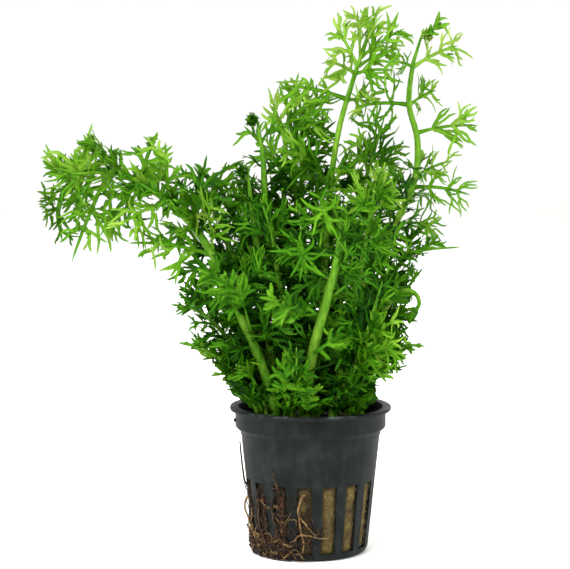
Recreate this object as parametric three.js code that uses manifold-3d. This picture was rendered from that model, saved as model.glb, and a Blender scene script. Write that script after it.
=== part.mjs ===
// A water sprite plant standing in rock wool in a small slotted plastic pot.
// Millimetres, +Z up. The origin is the middle of the pot's underside, and the front faces -Y.

import * as THREE from 'three';
import * as BufferGeometryUtils from 'three/addons/utils/BufferGeometryUtils.js';
import Module from 'manifold-3d';

const wasm = await Module();
wasm.setup();

// Pot: a 5 cm aquarium plant pot, with a lip, a collar that stands proud, and a tapered body.
const POT_HEIGHT = 50;
const LIP_RADIUS = 27.5;
const LIP_THICK = 1.4;
const COLLAR_RADIUS = 25.7;
const COLLAR_FOOT = 43;
const BODY_TOP_RADIUS = 23.8;
const BODY_TOP = 41.4;
const BODY_FOOT_RADIUS = 19.5;
const BASE_ROUND = 2.2;
const WALL = 1.2;
const SLOT_COUNT = 16;
const SLOT_WIDTH = 4.9;
const SLOT_FOOT = 2.6;
const SLOT_TOP = 25.6;
const SLOT_FIRST_DEG = 16.3;
const SLOT_REACH_WALLS = 4;
const POT_SIDES = 32;

// Rock wool: a plug that fills the pot to just under the lip, with a hole for each stem.
const GAP = 0.3;
const WOOL_EDGE_TOP = 43.5;
const WOOL_CROWN = 45.6;
const WOOL_SIDES = 16;
const WOOL_SHOULDER = 13;
const WOOL_SHOULDER_DROP = 0.5;
const STEM_FOOT = 38;

// Stems: stout ones are four-cornered and thin ones three-cornered, and all taper toward the tip.
const STOUT = 1.12;
const STEM_TAPER = 0.6;
const STOUT_RISE = 0.8;
const THIN_RISE = 1.3;
const RING_CLEAR = 0.3;
const PAIR_HALF = 0.95;

// The rolled end of a young frond: its ribbon, and how far the roll tightens.
const CURL_HALF = 0.42;
const CURL_RISE = 0.7;
const CURL_TIGHTEN = 0.55;
const CURL_TIP = 0.8;

// Leaflets: thin strips with a ridge along the top, whose rings stand at parts of their length.
const LARGE = [0.12, 0.38, 0.6, 0.8];
const MEDIUM = [0.14, 0.48, 0.74];
const SMALL = [0.2, 0.62];
const LARGE_FROM = 25;
const MEDIUM_FROM = 16;
const PINNA_HALF = 0.62;
const PINNA_NARROWING = 0.5;
const RIDGE = 0.34;
const ARCH = 0.1;

// Lobes: how they lean from the leaflet, how long they are, and how much each differs.
const LOBE_SPREAD_DEG = 46;
const LOBE_SPREAD_VARIES_DEG = 14;
const LOBE_REACH = 0.4;
const LOBE_REACH_VARIES = 0.3;
const LOBE_SHORTENS = 0.17;
const LOBE_LIFT = 0.5;
const LOBE_RIDGE = 0.16;

// Room: each leaflet keeps this far from its neighbours, by turning about its stem or by being
// shorter. It is tried from just off its stem.
const LEAF_GAP = 0.4;
const FREE_FROM = 0.03;
const TURNS_DEG = [0, 14, -14, 28, -28, 42, -42, 56, -56, 70, -70, 84, -84];
const SHRINKS = [1, 0.82, 0.66, 0.5];

const UP = new THREE.Vector3(0, 0, 1);
const vec = (x, y, z) => new THREE.Vector3(x, y, z);
const radians = THREE.MathUtils.degToRad;

// A number from 0 to 1 that is the same for the same seed.
function chance(seed) {
  const wave = Math.sin(seed * 12.9898 + 4.1414) * 43758.5453;
  return wave - Math.floor(wave);
}

// Closed meshes to solids and back.
function toSolid(points, faces) {
  const mesh = new wasm.Mesh({
    numProp: 3,
    vertProperties: Float32Array.from(points),
    triVerts: Uint32Array.from(faces),
  });
  return new wasm.Manifold(mesh);
}

function geometryToSolid(geometry) {
  const plain = geometry.clone();
  plain.deleteAttribute('normal');
  plain.deleteAttribute('uv');
  const merged = BufferGeometryUtils.mergeVertices(plain, 1e-4);
  return toSolid(merged.attributes.position.array, merged.index.array);
}

function toGeometry(points, faces) {
  const geometry = new THREE.BufferGeometry();
  geometry.setAttribute('position', new THREE.BufferAttribute(Float32Array.from(points), 3));
  geometry.setIndex(Array.from(faces));
  geometry.computeVertexNormals();
  return geometry;
}

function solidToGeometry(solid) {
  const mesh = solid.getMesh();
  return toGeometry(mesh.vertProperties, mesh.triVerts);
}

// Materials, as the photograph shows them.
const potPlastic = new THREE.MeshStandardMaterial({ color: 0x323836, roughness: 0.45, metalness: 0 });
const rockWool = new THREE.MeshStandardMaterial({ color: 0x6b5c34, roughness: 0.95, metalness: 0 });
const rootSkin = new THREE.MeshStandardMaterial({ color: 0x5d4630, roughness: 0.8, metalness: 0 });
const leafGreen = new THREE.MeshStandardMaterial({ color: 0x5fa02a, roughness: 0.5, metalness: 0 });

function named(name, geometry, material) {
  const mesh = new THREE.Mesh(geometry, material);
  mesh.name = name;
  return mesh;
}

// The pot's outside radius at a height on its tapered body.
function bodyRadius(z) {
  return THREE.MathUtils.mapLinear(z, 0, BODY_TOP, BODY_FOOT_RADIUS, BODY_TOP_RADIUS);
}

// A turned piece: three's lathe turns about Y, so the result is laid back to +Z up.
function turned(profile, sides, startDeg) {
  const points = profile.map(([radius, height]) => new THREE.Vector2(radius, height));
  const geometry = new THREE.LatheGeometry(points, sides, radians(startDeg), 2 * Math.PI);
  geometry.rotateX(Math.PI / 2);
  return geometry;
}

// The direction from the axis at an angle from the front, positive to the right.
function outward(deg) {
  return vec(Math.sin(radians(deg)), -Math.cos(radians(deg)), 0);
}

function potSolid() {
  const floorRadius = bodyRadius(0) - BASE_ROUND;
  const roundMiddle = BASE_ROUND * (1 - Math.SQRT1_2);
  const inside = (z) => bodyRadius(z) - WALL;
  const collarInside = COLLAR_RADIUS - WALL;
  const profile = [
    [0, 0],
    [floorRadius, 0],
    [bodyRadius(roundMiddle) - roundMiddle, roundMiddle],
    [bodyRadius(BASE_ROUND), BASE_ROUND],
    [BODY_TOP_RADIUS, BODY_TOP],
    [COLLAR_RADIUS, COLLAR_FOOT],
    [COLLAR_RADIUS, POT_HEIGHT - LIP_THICK],
    [LIP_RADIUS, POT_HEIGHT - LIP_THICK],
    [LIP_RADIUS, POT_HEIGHT],
    [collarInside, POT_HEIGHT],
    [collarInside, COLLAR_FOOT],
    [inside(BODY_TOP), BODY_TOP],
    [inside(WALL), WALL],
    [0, WALL],
  ];
  let solid = geometryToSolid(turned(profile, POT_SIDES, SLOT_FIRST_DEG));
  const slotHeight = SLOT_TOP - SLOT_FOOT;
  const slotReach = SLOT_REACH_WALLS * WALL;
  for (let i = 0; i < SLOT_COUNT; i += 1) {
    const deg = SLOT_FIRST_DEG + (i * 360) / SLOT_COUNT;
    const cutter = new THREE.BoxGeometry(SLOT_WIDTH, slotReach, slotHeight);
    const middle = outward(deg).multiplyScalar(bodyRadius((SLOT_FOOT + SLOT_TOP) / 2) - WALL / 2);
    cutter.rotateZ(radians(deg));
    cutter.translate(middle.x, middle.y, SLOT_FOOT + slotHeight / 2);
    solid = solid.subtract(geometryToSolid(cutter));
  }
  return solid;
}

// A strip of leaf is grown ring by ring. A ring has its left edge, its top, its right edge and, on
// a stem, its underside, in that order as seen looking along the strip.
class Skin {
  constructor() {
    this.points = [];
    this.faces = [];
  }

  point(at) {
    this.points.push(at.x, at.y, at.z);
    return this.points.length / 3 - 1;
  }

  placed(id) {
    return vec(...this.points.slice(3 * id, 3 * id + 3));
  }

  // The ring's points, swollen by a margin when the strip is only being tried for room.
  ring(ring, corners, swell) {
    const across = ring.right.clone().multiplyScalar(ring.half + 2 * swell);
    const low = ring.top.clone().multiplyScalar(corners === 4 ? 0 : -swell);
    const high = ring.top.clone().multiplyScalar(ring.rise + swell);
    const left = ring.at.clone().sub(across).add(low);
    const top = ring.at.clone().add(high);
    const right = ring.at.clone().add(across).add(low);
    const ids = [this.point(left), this.point(top), this.point(right)];
    if (corners === 4) {
      ids.push(this.point(ring.at.clone().sub(high)));
    }
    return ids;
  }

  // The faces between two rings, with a side strip grown from either edge.
  join(a, b, sides, swell) {
    for (let i = 0; i < a.length; i += 1) {
      const j = (i + 1) % a.length;
      const side = sides.find((one) => (one.edge < 0 ? 0 : 1) === i);
      if (!side) {
        this.faces.push(a[i], a[j], b[j], a[i], b[j], b[i]);
      } else if (side.edge < 0) {
        const top = this.point(this.sideTop(a[0], b[0], side, swell));
        this.faces.push(a[0], a[1], top, a[1], b[1], top, b[1], b[0], top);
        this.grow([a[0], top, b[0]], side, swell);
      } else {
        const top = this.point(this.sideTop(a[2], b[2], side, swell));
        this.faces.push(a[1], a[2], top, a[1], top, b[1], top, b[2], b[1]);
        this.grow([b[2], top, a[2]], side, swell);
      }
    }
  }

  sideTop(a, b, side, swell) {
    return this.placed(a).lerp(this.placed(b), 0.5).addScaledVector(side.top, side.rise + swell);
  }

  // A tip carried on past its place, away from the strip's last ring.
  beyond(last, tip, extra) {
    const from = last.reduce((sum, id) => sum.add(this.placed(id)), vec(0, 0, 0)).divideScalar(last.length);
    return tip.clone().addScaledVector(tip.clone().sub(from).normalize(), extra);
  }

  // A strip's rings from its root to its pointed tip.
  grow(root, strip, swell) {
    let last = root;
    strip.rings.forEach((ring, k) => {
      const next = this.ring(ring, root.length, swell);
      this.join(last, next, strip.sides.filter((side) => side.interval === k), swell);
      last = next;
    });
    const tip = this.point(this.beyond(last, strip.tip, 2 * swell));
    for (let i = 0; i < last.length; i += 1) {
      this.faces.push(last[i], last[(i + 1) % last.length], tip);
    }
  }

  // A strip that stands alone has a flat end at its first ring.
  alone(strip, corners, swell) {
    const [first, ...rest] = strip.rings;
    const root = this.ring(first, corners, swell);
    for (let i = 2; i < corners; i += 1) {
      this.faces.push(root[0], root[i], root[i - 1]);
    }
    const sides = strip.sides.map((side) => ({ ...side, interval: side.interval - 1 }));
    this.grow(root, { ...strip, rings: rest, sides }, swell);
    return this;
  }

  solid() {
    return toSolid(this.points, this.faces);
  }
}

// A stem's course through its hand-placed points. A place on it counts in points: 2.5 is halfway
// between the third and the fourth.
const COURSE_STEP = 0.05;

class Course {
  constructor(points) {
    this.last = points.length - 1;
    this.curve = new THREE.CatmullRomCurve3(points.map((p) => vec(...p)), false, 'catmullrom', 0.5);
  }

  at(place) {
    return this.curve.getPoint(THREE.MathUtils.clamp(place / this.last, 0, 1));
  }

  heading(place) {
    const before = this.at(Math.max(place - COURSE_STEP, 0));
    const after = this.at(Math.min(place + COURSE_STEP, this.last));
    return after.sub(before).normalize();
  }

  // Millimetres travelled for each point passed.
  pace(place) {
    const from = Math.max(place - COURSE_STEP, 0);
    const to = Math.min(place + COURSE_STEP, this.last);
    return this.at(to).distanceTo(this.at(from)) / (to - from);
  }
}

// A pinna runs from the stem's edge to its tip, bowed a little upward, with lobes on both edges.
function pinna(root, tip, rightAtRoot, seed) {
  const length = root.distanceTo(tip);
  const bend = root.clone().lerp(tip, 0.5).addScaledVector(UP, ARCH * length);
  const path = new THREE.QuadraticBezierCurve3(root, bend, tip);
  const stations = length > LARGE_FROM ? LARGE : length > MEDIUM_FROM ? MEDIUM : SMALL;
  const top = rightAtRoot.clone().cross(path.getTangent(0)).normalize();
  const ringAt = (share) => {
    const heading = path.getTangent(share);
    const right = heading.clone().cross(top).normalize();
    const half = PINNA_HALF * (1 + PINNA_NARROWING * (0.5 - share));
    return { at: path.getPoint(share), right, top: right.clone().cross(heading), half, rise: RIDGE };
  };
  const rings = stations.map(ringAt);
  const sides = [];
  for (let k = 1; k < rings.length; k += 1) {
    [-1, 1].forEach((edge) => {
      sides.push(lobe(rings[k - 1], rings[k], edge, k, length, seed + 7 * k + edge));
    });
  }
  return { rings, sides, tip, top, rise: RIDGE, first: { ...ringAt(FREE_FROM), half: PAIR_HALF } };
}

// A lobe is a pointed side strip that leans forward from the pinna's edge.
function lobe(from, to, edge, interval, length, seed) {
  const heading = to.at.clone().sub(from.at).normalize();
  const sideways = from.right.clone().multiplyScalar(edge);
  const root = from.at.clone().lerp(to.at, 0.5).addScaledVector(sideways, (from.half + to.half) / 2);
  const spread = radians(LOBE_SPREAD_DEG + LOBE_SPREAD_VARIES_DEG * (chance(seed) - 0.5));
  const varied = 1 + LOBE_REACH_VARIES * (chance(seed + 0.5) - 0.5);
  const reach = length * LOBE_REACH * (1 - LOBE_SHORTENS * (interval - 1)) * varied;
  const lift = LOBE_LIFT * (chance(seed + 0.25) - 0.5);
  const way = heading.multiplyScalar(Math.cos(spread))
    .addScaledVector(sideways, Math.sin(spread))
    .addScaledVector(from.top, lift)
    .normalize();
  const tip = root.addScaledVector(way, reach);
  return { edge, interval, rings: [], sides: [], tip, top: from.top, rise: LOBE_RIDGE };
}

// The plant's fronds. Each has its course from its foot in the rock wool, its thickness at the foot,
// and its leaflets: [place, reach in mm or tip, edge], or a rule that sets them in pairs.
// faces is the way the blade's upper side looks where the stem starts to bend.
const FRONDS = [
  {
    name: 'frond_arching_left',
    course: [
      [-12, -11, STEM_FOOT], [-12, -14, 50], [-16, -17, 65], [-23, -18, 82], [-30, -16, 98], [-40, -13, 113],
      [-53, -11, 124], [-67, -8, 130], [-79, -5, 128], [-85, -3, 117],
    ],
    thick: 1.7,
    faces: [0.3, -1, 0.3],
    tip: [-84, -2, 106],
    leaflets: [
      [2.5, [-30, -26, 72], -1], [2.5, [-6, -32, 84], 1],
      [3.4, [-43, -13, 89], -1], [3.4, [-14, -29, 101], 1],
      [4.3, [-60, -24, 107], -1], [4.3, [-34, -30, 125], 1],
      [4.9, [-50, -4, 104], -1], [4.9, [-37, 4, 133], 1],
      [5.6, [-65, -24, 109], -1], [5.6, [-48, -16, 140], 1],
      [6.3, [-71, -2, 108], -1], [6.3, [-52, 8, 143], 1],
      [7.0, [-79, -18, 100], -1], [7.0, [-66, -12, 139], 1],
      [7.8, [-80, 2, 113], -1], [7.8, [-74, 5, 146], 1],
      [8.2, [-91, 3, 137], 1], [8.75, [-90, -13, 121], 1],
    ],
  },
  {
    name: 'frond_front_middle',
    course: [
      [-2, -13, STEM_FOOT], [-2, -15, 50], [0, -23, 69], [4, -28, 86], [8, -30, 102], [9, -29, 112],
    ],
    thick: 1.9,
    faces: [0.2, -1, 0.4],
    tip: [6, -31, 121],
    leaflets: [
      [3.7, [-7, -36, 91], -1], [3.7, [20, -36, 96], 1],
      [4.2, [-10, -34, 107], -1], [4.2, [23, -34, 110], 1],
      [4.7, [-5, -34, 118], -1], [4.7, [19, -32, 123], 1],
    ],
  },
  {
    name: 'frond_tall_middle',
    course: [
      [2, -3, STEM_FOOT], [2, -2, 52], [4, 0, 86], [6, -1, 118], [9, -3, 142], [14, -3, 160], [17, -3, 169],
    ],
    thick: 1.25,
    faces: [0, -1, 0.2],
    tip: [23, -4, 185],
    leaflets: [
      [3.3, [-9, -14, 139], -1], [3.3, [22, 6, 138], 1],
      [4.6, [-10, -12, 158], -1], [4.6, [21, 10, 152], 1],
      [5.2, [5, -14, 166], -1], [5.2, [27, -14, 163], 1], [5.5, [8, 6, 179], -1], [5.5, [30, 6, 171], 1],
      [5.85, [15, -10, 183], -1], [5.85, [31, -8, 177], 1],
    ],
  },
  {
    name: 'frond_tall_right',
    course: [
      [8, 2, STEM_FOOT], [8, 2, 52], [16, 3, 84], [27, 3, 108], [35, 2, 126], [36, 1, 140], [33, 0, 152],
      [34, 0, 164], [35.4, 0, 169.5], [37.2, -0.5, 175.5],
    ],
    thick: 1.2,
    faces: [0, -1, 0.2],
    curl: { radius: 1.9, toward: [1, 0, 0], steps: 6, turn: 320 },
    leaflets: [
      [3.2, [24, -14, 127], -1], [3.2, [44, 12, 110], 1],
      [3.9, [53, -10, 122], 1], [4.15, [49, 10, 133], 1],
      [5.2, [56, -6, 145], 1], [6.0, [14, -10, 151], -1],
      [6.0, [43, 10, 157], 1], [7.1, [26, -10, 166], -1],
      [7.1, [50, 6, 172], 1],
    ],
  },
  {
    name: 'frond_upper_left',
    course: [[-3, 4, STEM_FOOT], [-3, 4, 52], [-6, 4, 86], [-9, 3, 118], [-8, 2, 144]],
    thick: 1.2,
    faces: [0, -1, 0.2],
    tip: [-4, 1, 163],
    leaflets: [
      [2.4, [-26, 10, 106], -1], [2.4, [9, -6, 104], 1], [2.9, [-27, 8, 124], -1], [2.9, [10, -8, 126], 1],
      [3.4, [-23, 10, 145], -1], [3.4, [7, 12, 147], 1], [3.8, [-12, 8, 158], -1], [3.8, [4, -8, 159], 1],
    ],
  },
  {
    name: 'frond_upper_right',
    course: [[4, 7, STEM_FOOT], [4, 7, 52], [9, 8, 86], [15, 6, 114], [20, 4, 131]],
    thick: 1.15,
    faces: [0.6, -0.8, 0.3],
    tip: [25, 3, 148],
    rule: { pairs: 4, from: 2.2, to: 3.9, reach: 22, end: 14, fold: 10, droop: 0 },
  },
  {
    name: 'frond_upper_middle',
    course: [[-2, 9, STEM_FOOT], [-2, 9, 52], [-3, 10, 90], [-5, 8, 120], [-5, 6, 141]],
    thick: 1.1,
    faces: [-0.6, -0.8, 0.3],
    tip: [-1, 5, 156],
    rule: { pairs: 4, from: 2.3, to: 3.9, reach: 20, end: 13, fold: 12, droop: 0 },
  },
  {
    name: 'young_frond_tall',
    course: [
      [-7, -1, STEM_FOOT], [-7, -1, 52], [-11, -2, 86],
      [-15, -5, 116], [-16, -6, 134], [-18, -6, 147],
    ],
    thick: 0.95,
    faces: [0, -1, 0.2],
    curl: { radius: 1.8, toward: [-1, 0.2, 0], steps: 6, turn: 320 },
    leaflets: [[3.2, [-27, -12, 118], -1], [4.4, [-11, -9, 147], 1]],
  },
  {
    name: 'young_frond_short',
    course: [
      [-11, -4, STEM_FOOT], [-11, -4, 52], [-15, -8, 80],
      [-18, -11, 104], [-20, -11, 120], [-21, -11, 130],
    ],
    thick: 0.9,
    faces: [0, -1, 0.2],
    curl: { radius: 1.8, toward: [-1, 0, 0], steps: 6, turn: 260 },
    leaflets: [[3.3, [-31, -16, 113], -1], [3.3, [-8, -18, 118], 1]],
  },
  {
    name: 'frond_left_high',
    course: [[-14, 1, STEM_FOOT], [-14, 1, 52], [-21, 0, 82], [-28, -1, 106], [-34, -2, 121]],
    thick: 1.15,
    faces: [0.6, -0.8, 0.4],
    tip: [-39, -3, 131],
    rule: { pairs: 4, from: 2.2, to: 3.9, reach: 24, end: 14, fold: 18, droop: 0.12 },
  },
  {
    name: 'frond_left_middle',
    course: [[-16, -6, STEM_FOOT], [-16, -6, 51], [-23, -9, 66], [-30, -12, 77], [-38, -14, 84]],
    thick: 1.05,
    faces: [0.2, -0.8, 0.6],
    tip: [-47, -15, 86],
    rule: { pairs: 4, from: 2.1, to: 3.8, reach: 17, end: 9, fold: 10, droop: -0.15 },
  },
  {
    name: 'frond_left_low',
    course: [[-18, -11, STEM_FOOT], [-18, -11, 50], [-23, -15, 60], [-30, -18, 68], [-36, -20, 72]],
    thick: 0.95,
    faces: [0.2, -0.8, 0.6],
    tip: [-44, -21, 74],
    rule: { pairs: 2, from: 2.3, to: 3.7, reach: 13, end: 8, fold: 10, droop: -0.3 },
  },
  {
    name: 'frond_rim_left',
    course: [[-15, -15, STEM_FOOT], [-15, -15, 49], [-17, -18, 56], [-19, -20, 61]],
    thick: 0.75,
    faces: [0.2, -0.8, 0.6],
    tip: [-22, -21, 66],
    rule: { pairs: 2, from: 1.9, to: 2.8, reach: 6, end: 5, fold: 10, droop: 0 },
  },
  {
    name: 'frond_rim_front',
    course: [[-7, -18, STEM_FOOT], [-7, -18, 50], [-6, -23, 58], [-5, -27, 65]],
    thick: 0.8,
    faces: [0, -0.6, 0.8],
    tip: [-5, -30, 74],
    rule: { pairs: 3, from: 1.4, to: 2.8, reach: 13, end: 8, fold: 0, droop: 0 },
  },
  {
    name: 'frond_front_right',
    course: [[7, -16, STEM_FOOT], [7, -16, 50], [12, -22, 62], [17, -26, 74], [20, -28, 85]],
    thick: 1.1,
    faces: [-0.1, -0.9, 0.5],
    tip: [23, -29, 96],
    rule: { pairs: 4, from: 2.1, to: 3.7, reach: 18, end: 11, fold: 12, droop: -0.25 },
  },
  {
    name: 'frond_rim_right',
    course: [[13, -14, STEM_FOOT], [13, -14, 49], [15, -18, 57], [18, -20, 63]],
    thick: 0.8,
    faces: [-0.2, -0.8, 0.6],
    tip: [22, -21, 67],
    rule: { pairs: 2, from: 1.5, to: 2.8, reach: 8, end: 5, fold: 10, droop: 0 },
  },
  {
    name: 'frond_right_low',
    course: [[17, -8, STEM_FOOT], [17, -8, 50], [20, -11, 61], [25, -13, 68], [30, -14, 72]],
    thick: 0.95,
    faces: [-0.3, -0.8, 0.6],
    tip: [38, -15, 72],
    rule: { pairs: 3, from: 2.3, to: 3.6, reach: 12, end: 7, fold: 10, droop: -0.25 },
  },
  {
    name: 'frond_right_curled',
    course: [
      [14, -2, STEM_FOOT], [14, -2, 52], [19, -6, 72], [26, -9, 86],
      [31, -10, 90], [35, -10, 89], [36, -10, 85],
    ],
    thick: 1.05,
    faces: [0, -1, 0.3],
    tip: [32, -10, 81],
    leaflets: [
      [1.8, [6, -14, 78], -1], [1.8, [28, -14, 66], 1], [2.5, [10, -16, 92], -1], [2.5, [36, -12, 80], 1],
      [3.2, [20, -12, 102], -1], [4.2, [37, -14, 98], -1],
    ],
  },
  {
    name: 'frond_right_middle',
    course: [[13, 5, STEM_FOOT], [13, 5, 52], [19, 5, 76], [27, 4, 93], [36, 3, 102]],
    thick: 1.1,
    faces: [-0.5, -0.7, 0.5],
    tip: [52, 2, 104],
    rule: { pairs: 4, from: 1.8, to: 3.7, reach: 18, end: 10, fold: 14, droop: 0 },
  },
  {
    name: 'frond_middle_right',
    course: [[8, -8, STEM_FOOT], [8, -8, 52], [13, -13, 78], [17, -16, 102], [20, -17, 120]],
    thick: 1.15,
    faces: [0.4, -0.9, 0.3],
    tip: [22, -18, 132],
    rule: { pairs: 4, from: 1.6, to: 3.8, reach: 22, end: 13, fold: 16, droop: 0.08 },
  },
  {
    name: 'frond_middle_left',
    course: [[-6, -8, STEM_FOOT], [-6, -8, 52], [-8, -14, 76], [-11, -18, 96], [-13, -19, 110]],
    thick: 1.15,
    faces: [-0.4, -0.9, 0.3],
    tip: [-17, -20, 122],
    rule: { pairs: 4, from: 1.5, to: 3.8, reach: 22, end: 13, fold: 16, droop: 0.08 },
  },
  {
    name: 'frond_back_left',
    course: [[-10, 10, STEM_FOOT], [-10, 10, 52], [-16, 16, 76], [-22, 22, 97], [-26, 26, 112]],
    thick: 1.1,
    faces: [0.5, -0.6, 0.6],
    tip: [-30, 29, 124],
    rule: { pairs: 3, from: 1.9, to: 3.8, reach: 23, end: 13, fold: 14, droop: 0.1 },
  },
  {
    name: 'frond_back_middle',
    course: [[0, 13, STEM_FOOT], [0, 13, 52], [-1, 20, 80], [-2, 25, 106], [-3, 27, 125]],
    thick: 1.15,
    faces: [0, -0.8, 0.6],
    tip: [-3, 29, 138],
    rule: { pairs: 3, from: 1.8, to: 3.8, reach: 24, end: 13, fold: 14, droop: 0.1 },
  },
  {
    name: 'frond_back_right',
    course: [[10, 11, STEM_FOOT], [10, 11, 52], [15, 17, 78], [20, 22, 102], [23, 24, 117]],
    thick: 1.1,
    faces: [-0.4, -0.7, 0.6],
    tip: [27, 26, 129],
    rule: { pairs: 3, from: 1.9, to: 3.8, reach: 22, end: 13, fold: 14, droop: 0.1 },
  },
  {
    name: 'frond_back_low_left',
    course: [[-17, 6, STEM_FOOT], [-17, 6, 51], [-23, 13, 66], [-28, 19, 77]],
    thick: 1,
    faces: [0.4, -0.4, 0.8],
    tip: [-35, 26, 84],
    rule: { pairs: 2, from: 1.7, to: 2.8, reach: 16, end: 10, fold: 8, droop: 0 },
  },
  {
    name: 'frond_back_low_middle',
    course: [[3, 18, STEM_FOOT], [3, 18, 51], [5, 25, 64], [6, 31, 74]],
    thick: 1,
    faces: [0, -0.4, 0.9],
    tip: [7, 40, 81],
    rule: { pairs: 2, from: 1.4, to: 2.8, reach: 17, end: 10, fold: 8, droop: 0 },
  },
  {
    name: 'frond_back_low_right',
    course: [[17, 8, STEM_FOOT], [17, 8, 51], [22, 14, 64], [26, 19, 73]],
    thick: 1,
    faces: [-0.4, -0.4, 0.8],
    tip: [32, 25, 80],
    rule: { pairs: 2, from: 1.7, to: 2.8, reach: 14, end: 9, fold: 8, droop: 0 },
  },
];

const LEAN_LOW_DEG = 66;
const LEAN_HIGH_DEG = 44;
const LENGTH_VARIES = 0.16;

// The way across a stem at a place: square to its heading and to the way its blade faces.
function across(frond, heading) {
  return heading.clone().cross(vec(...frond.faces)).normalize();
}

// The leaflets that a rule gives: pairs, longest low on the blade, folded a little to its upper side.
function leafletsOf(frond, course) {
  if (frond.leaflets) {
    return frond.leaflets.map(([place, tip, edge]) => ({ place, edge, tip: vec(...tip) }));
  }
  const { pairs, from, to, reach, end, fold, droop } = frond.rule;
  const leaflets = [];
  for (let i = 0; i < pairs; i += 1) {
    const share = i / (pairs - 1);
    const place = THREE.MathUtils.lerp(from, to, share);
    [-1, 1].forEach((edge) => {
      const heading = course.heading(place);
      const sideways = across(frond, heading).multiplyScalar(edge);
      const top = across(frond, heading).cross(heading);
      const lean = radians(THREE.MathUtils.lerp(LEAN_LOW_DEG, LEAN_HIGH_DEG, share));
      const varied = 1 + LENGTH_VARIES * (chance(5 * place + edge) - 0.5);
      const length = THREE.MathUtils.lerp(reach, end, share) * varied;
      const way = heading.clone().multiplyScalar(Math.cos(lean))
        .addScaledVector(sideways, Math.sin(lean) * Math.cos(radians(fold)))
        .addScaledVector(top, Math.sin(lean) * Math.sin(radians(fold)))
        .addScaledVector(UP, -droop);
      const tip = course.at(place).addScaledVector(way.normalize(), length);
      leaflets.push({ place, edge, tip });
    });
  }
  return leaflets;
}

// The end of a young frond rolls up like a watch spring, in the plane of its heading and toward.
function curlRings(frond, course) {
  const { radius, toward, steps, turn } = frond.curl;
  const end = course.at(course.last);
  const heading = course.heading(course.last);
  const inward = vec(...toward).addScaledVector(heading, -vec(...toward).dot(heading)).normalize();
  const outside = across(frond, heading).dot(inward) < 0 ? 1 : -1;
  const rings = [];
  for (let k = 1; k <= steps; k += 1) {
    const share = k / steps;
    const angle = radians(turn * share);
    const shrunk = radius * (1 - CURL_TIGHTEN * share);
    const centre = end.clone().addScaledVector(inward, radius);
    const out = inward.clone().multiplyScalar(-Math.cos(angle)).addScaledVector(heading, Math.sin(angle));
    const at = centre.addScaledVector(out, shrunk);
    const along = inward.clone().multiplyScalar(Math.sin(angle)).addScaledVector(heading, Math.cos(angle));
    const right = out.clone().multiplyScalar(outside);
    rings.push({ at, right, top: right.clone().cross(along), half: CURL_HALF, rise: CURL_RISE });
  }
  return rings;
}

// Stout stems are four-cornered, thin ones three-cornered.
const corners = (frond) => (frond.thick > STOUT ? 4 : 3);

// A frond's stem with its rings: two at each place where leaflets leave it.
function stemOf(frond, course, places) {
  const stops = [0, 1];
  places.forEach((place) => {
    const step = PAIR_HALF / course.pace(place);
    stops.push(place - step, place + step);
  });
  const lastPlace = Math.max(...places);
  for (let between = 2; between <= course.last; between += 1) {
    const crowded = stops.some((stop) => Math.abs(stop - between) < RING_CLEAR);
    if (!crowded && (frond.curl || between < lastPlace + 0.5)) {
      stops.push(between);
    }
  }
  stops.sort((a, b) => a - b);
  const rings = stops.map((place) => {
    const heading = course.heading(place);
    const right = across(frond, heading);
    const share = Math.max(place - 1, 0) / course.last;
    const half = frond.thick * (1 - STEM_TAPER * share);
    const rise = (corners(frond) === 4 ? STOUT_RISE : THIN_RISE) * half;
    return { at: course.at(place), right, top: right.clone().cross(heading), half, rise };
  });
  let tip = frond.tip ? vec(...frond.tip) : null;
  if (frond.curl) {
    rings.push(...curlRings(frond, course));
    const [before, last] = rings.slice(-2);
    tip = last.at.clone().addScaledVector(last.at.clone().sub(before.at).normalize(), CURL_TIP);
  }
  return { rings, sides: [], tip, stops };
}

// Rock wool: a plug with a crowned top, and a hole for each stem, a little wider than the stem.
function woolSolid(stems) {
  const inside = (z) => bodyRadius(z) - WALL - GAP;
  const bottom = WALL + GAP;
  const profile = [
    [0, bottom],
    [inside(bottom), bottom],
    [inside(BODY_TOP), BODY_TOP],
    [inside(BODY_TOP) - 1, WOOL_EDGE_TOP],
    [WOOL_SHOULDER, WOOL_CROWN - WOOL_SHOULDER_DROP],
    [0, WOOL_CROWN],
  ];
  let solid = geometryToSolid(turned(profile, WOOL_SIDES, SLOT_FIRST_DEG));
  stems.forEach(({ frond, stem }) => {
    const [foot, above] = stem.rings;
    const rise = above.at.clone().sub(foot.at);
    const deeper = { ...foot, at: foot.at.clone().addScaledVector(rise.clone().normalize(), -GAP) };
    const hole = { rings: [deeper, above], sides: [], tip: above.at.clone().add(rise) };
    solid = solid.subtract(new Skin().alone(hole, corners(frond), GAP).solid());
  });
  return solid;
}

// What is already in its place, so that each new leaflet finds room among the others.
const standing = [];

function roomFor(trial, others) {
  const box = trial.boundingBox();
  return others.every((other) => {
    const apart = [0, 1, 2].some((axis) => {
      return box.min[axis] > other.box.max[axis] || box.max[axis] < other.box.min[axis];
    });
    if (apart) {
      return true;
    }
    const shared = trial.intersect(other.solid);
    const empty = shared.isEmpty();
    shared.delete();
    return empty;
  });
}

function stand(solid, owner) {
  standing.push({ solid, owner, box: solid.boundingBox() });
}

// Whether a leaflet clears the other pieces all along, and its own frond past where it is joined on.
function clears(strip, owner) {
  const own = standing.filter((other) => other.owner === owner);
  const others = standing.filter((other) => other.owner !== owner);
  const sides = strip.sides.map((side) => ({ ...side, interval: side.interval + 1 }));
  const longer = { ...strip, rings: [strip.first, ...strip.rings], sides };
  const whole = new Skin().alone(longer, 3, LEAF_GAP).solid();
  const free = new Skin().alone(strip, 3, LEAF_GAP).solid();
  const clear = roomFor(whole, others) && roomFor(free, own);
  whole.delete();
  free.delete();
  return clear;
}

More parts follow.
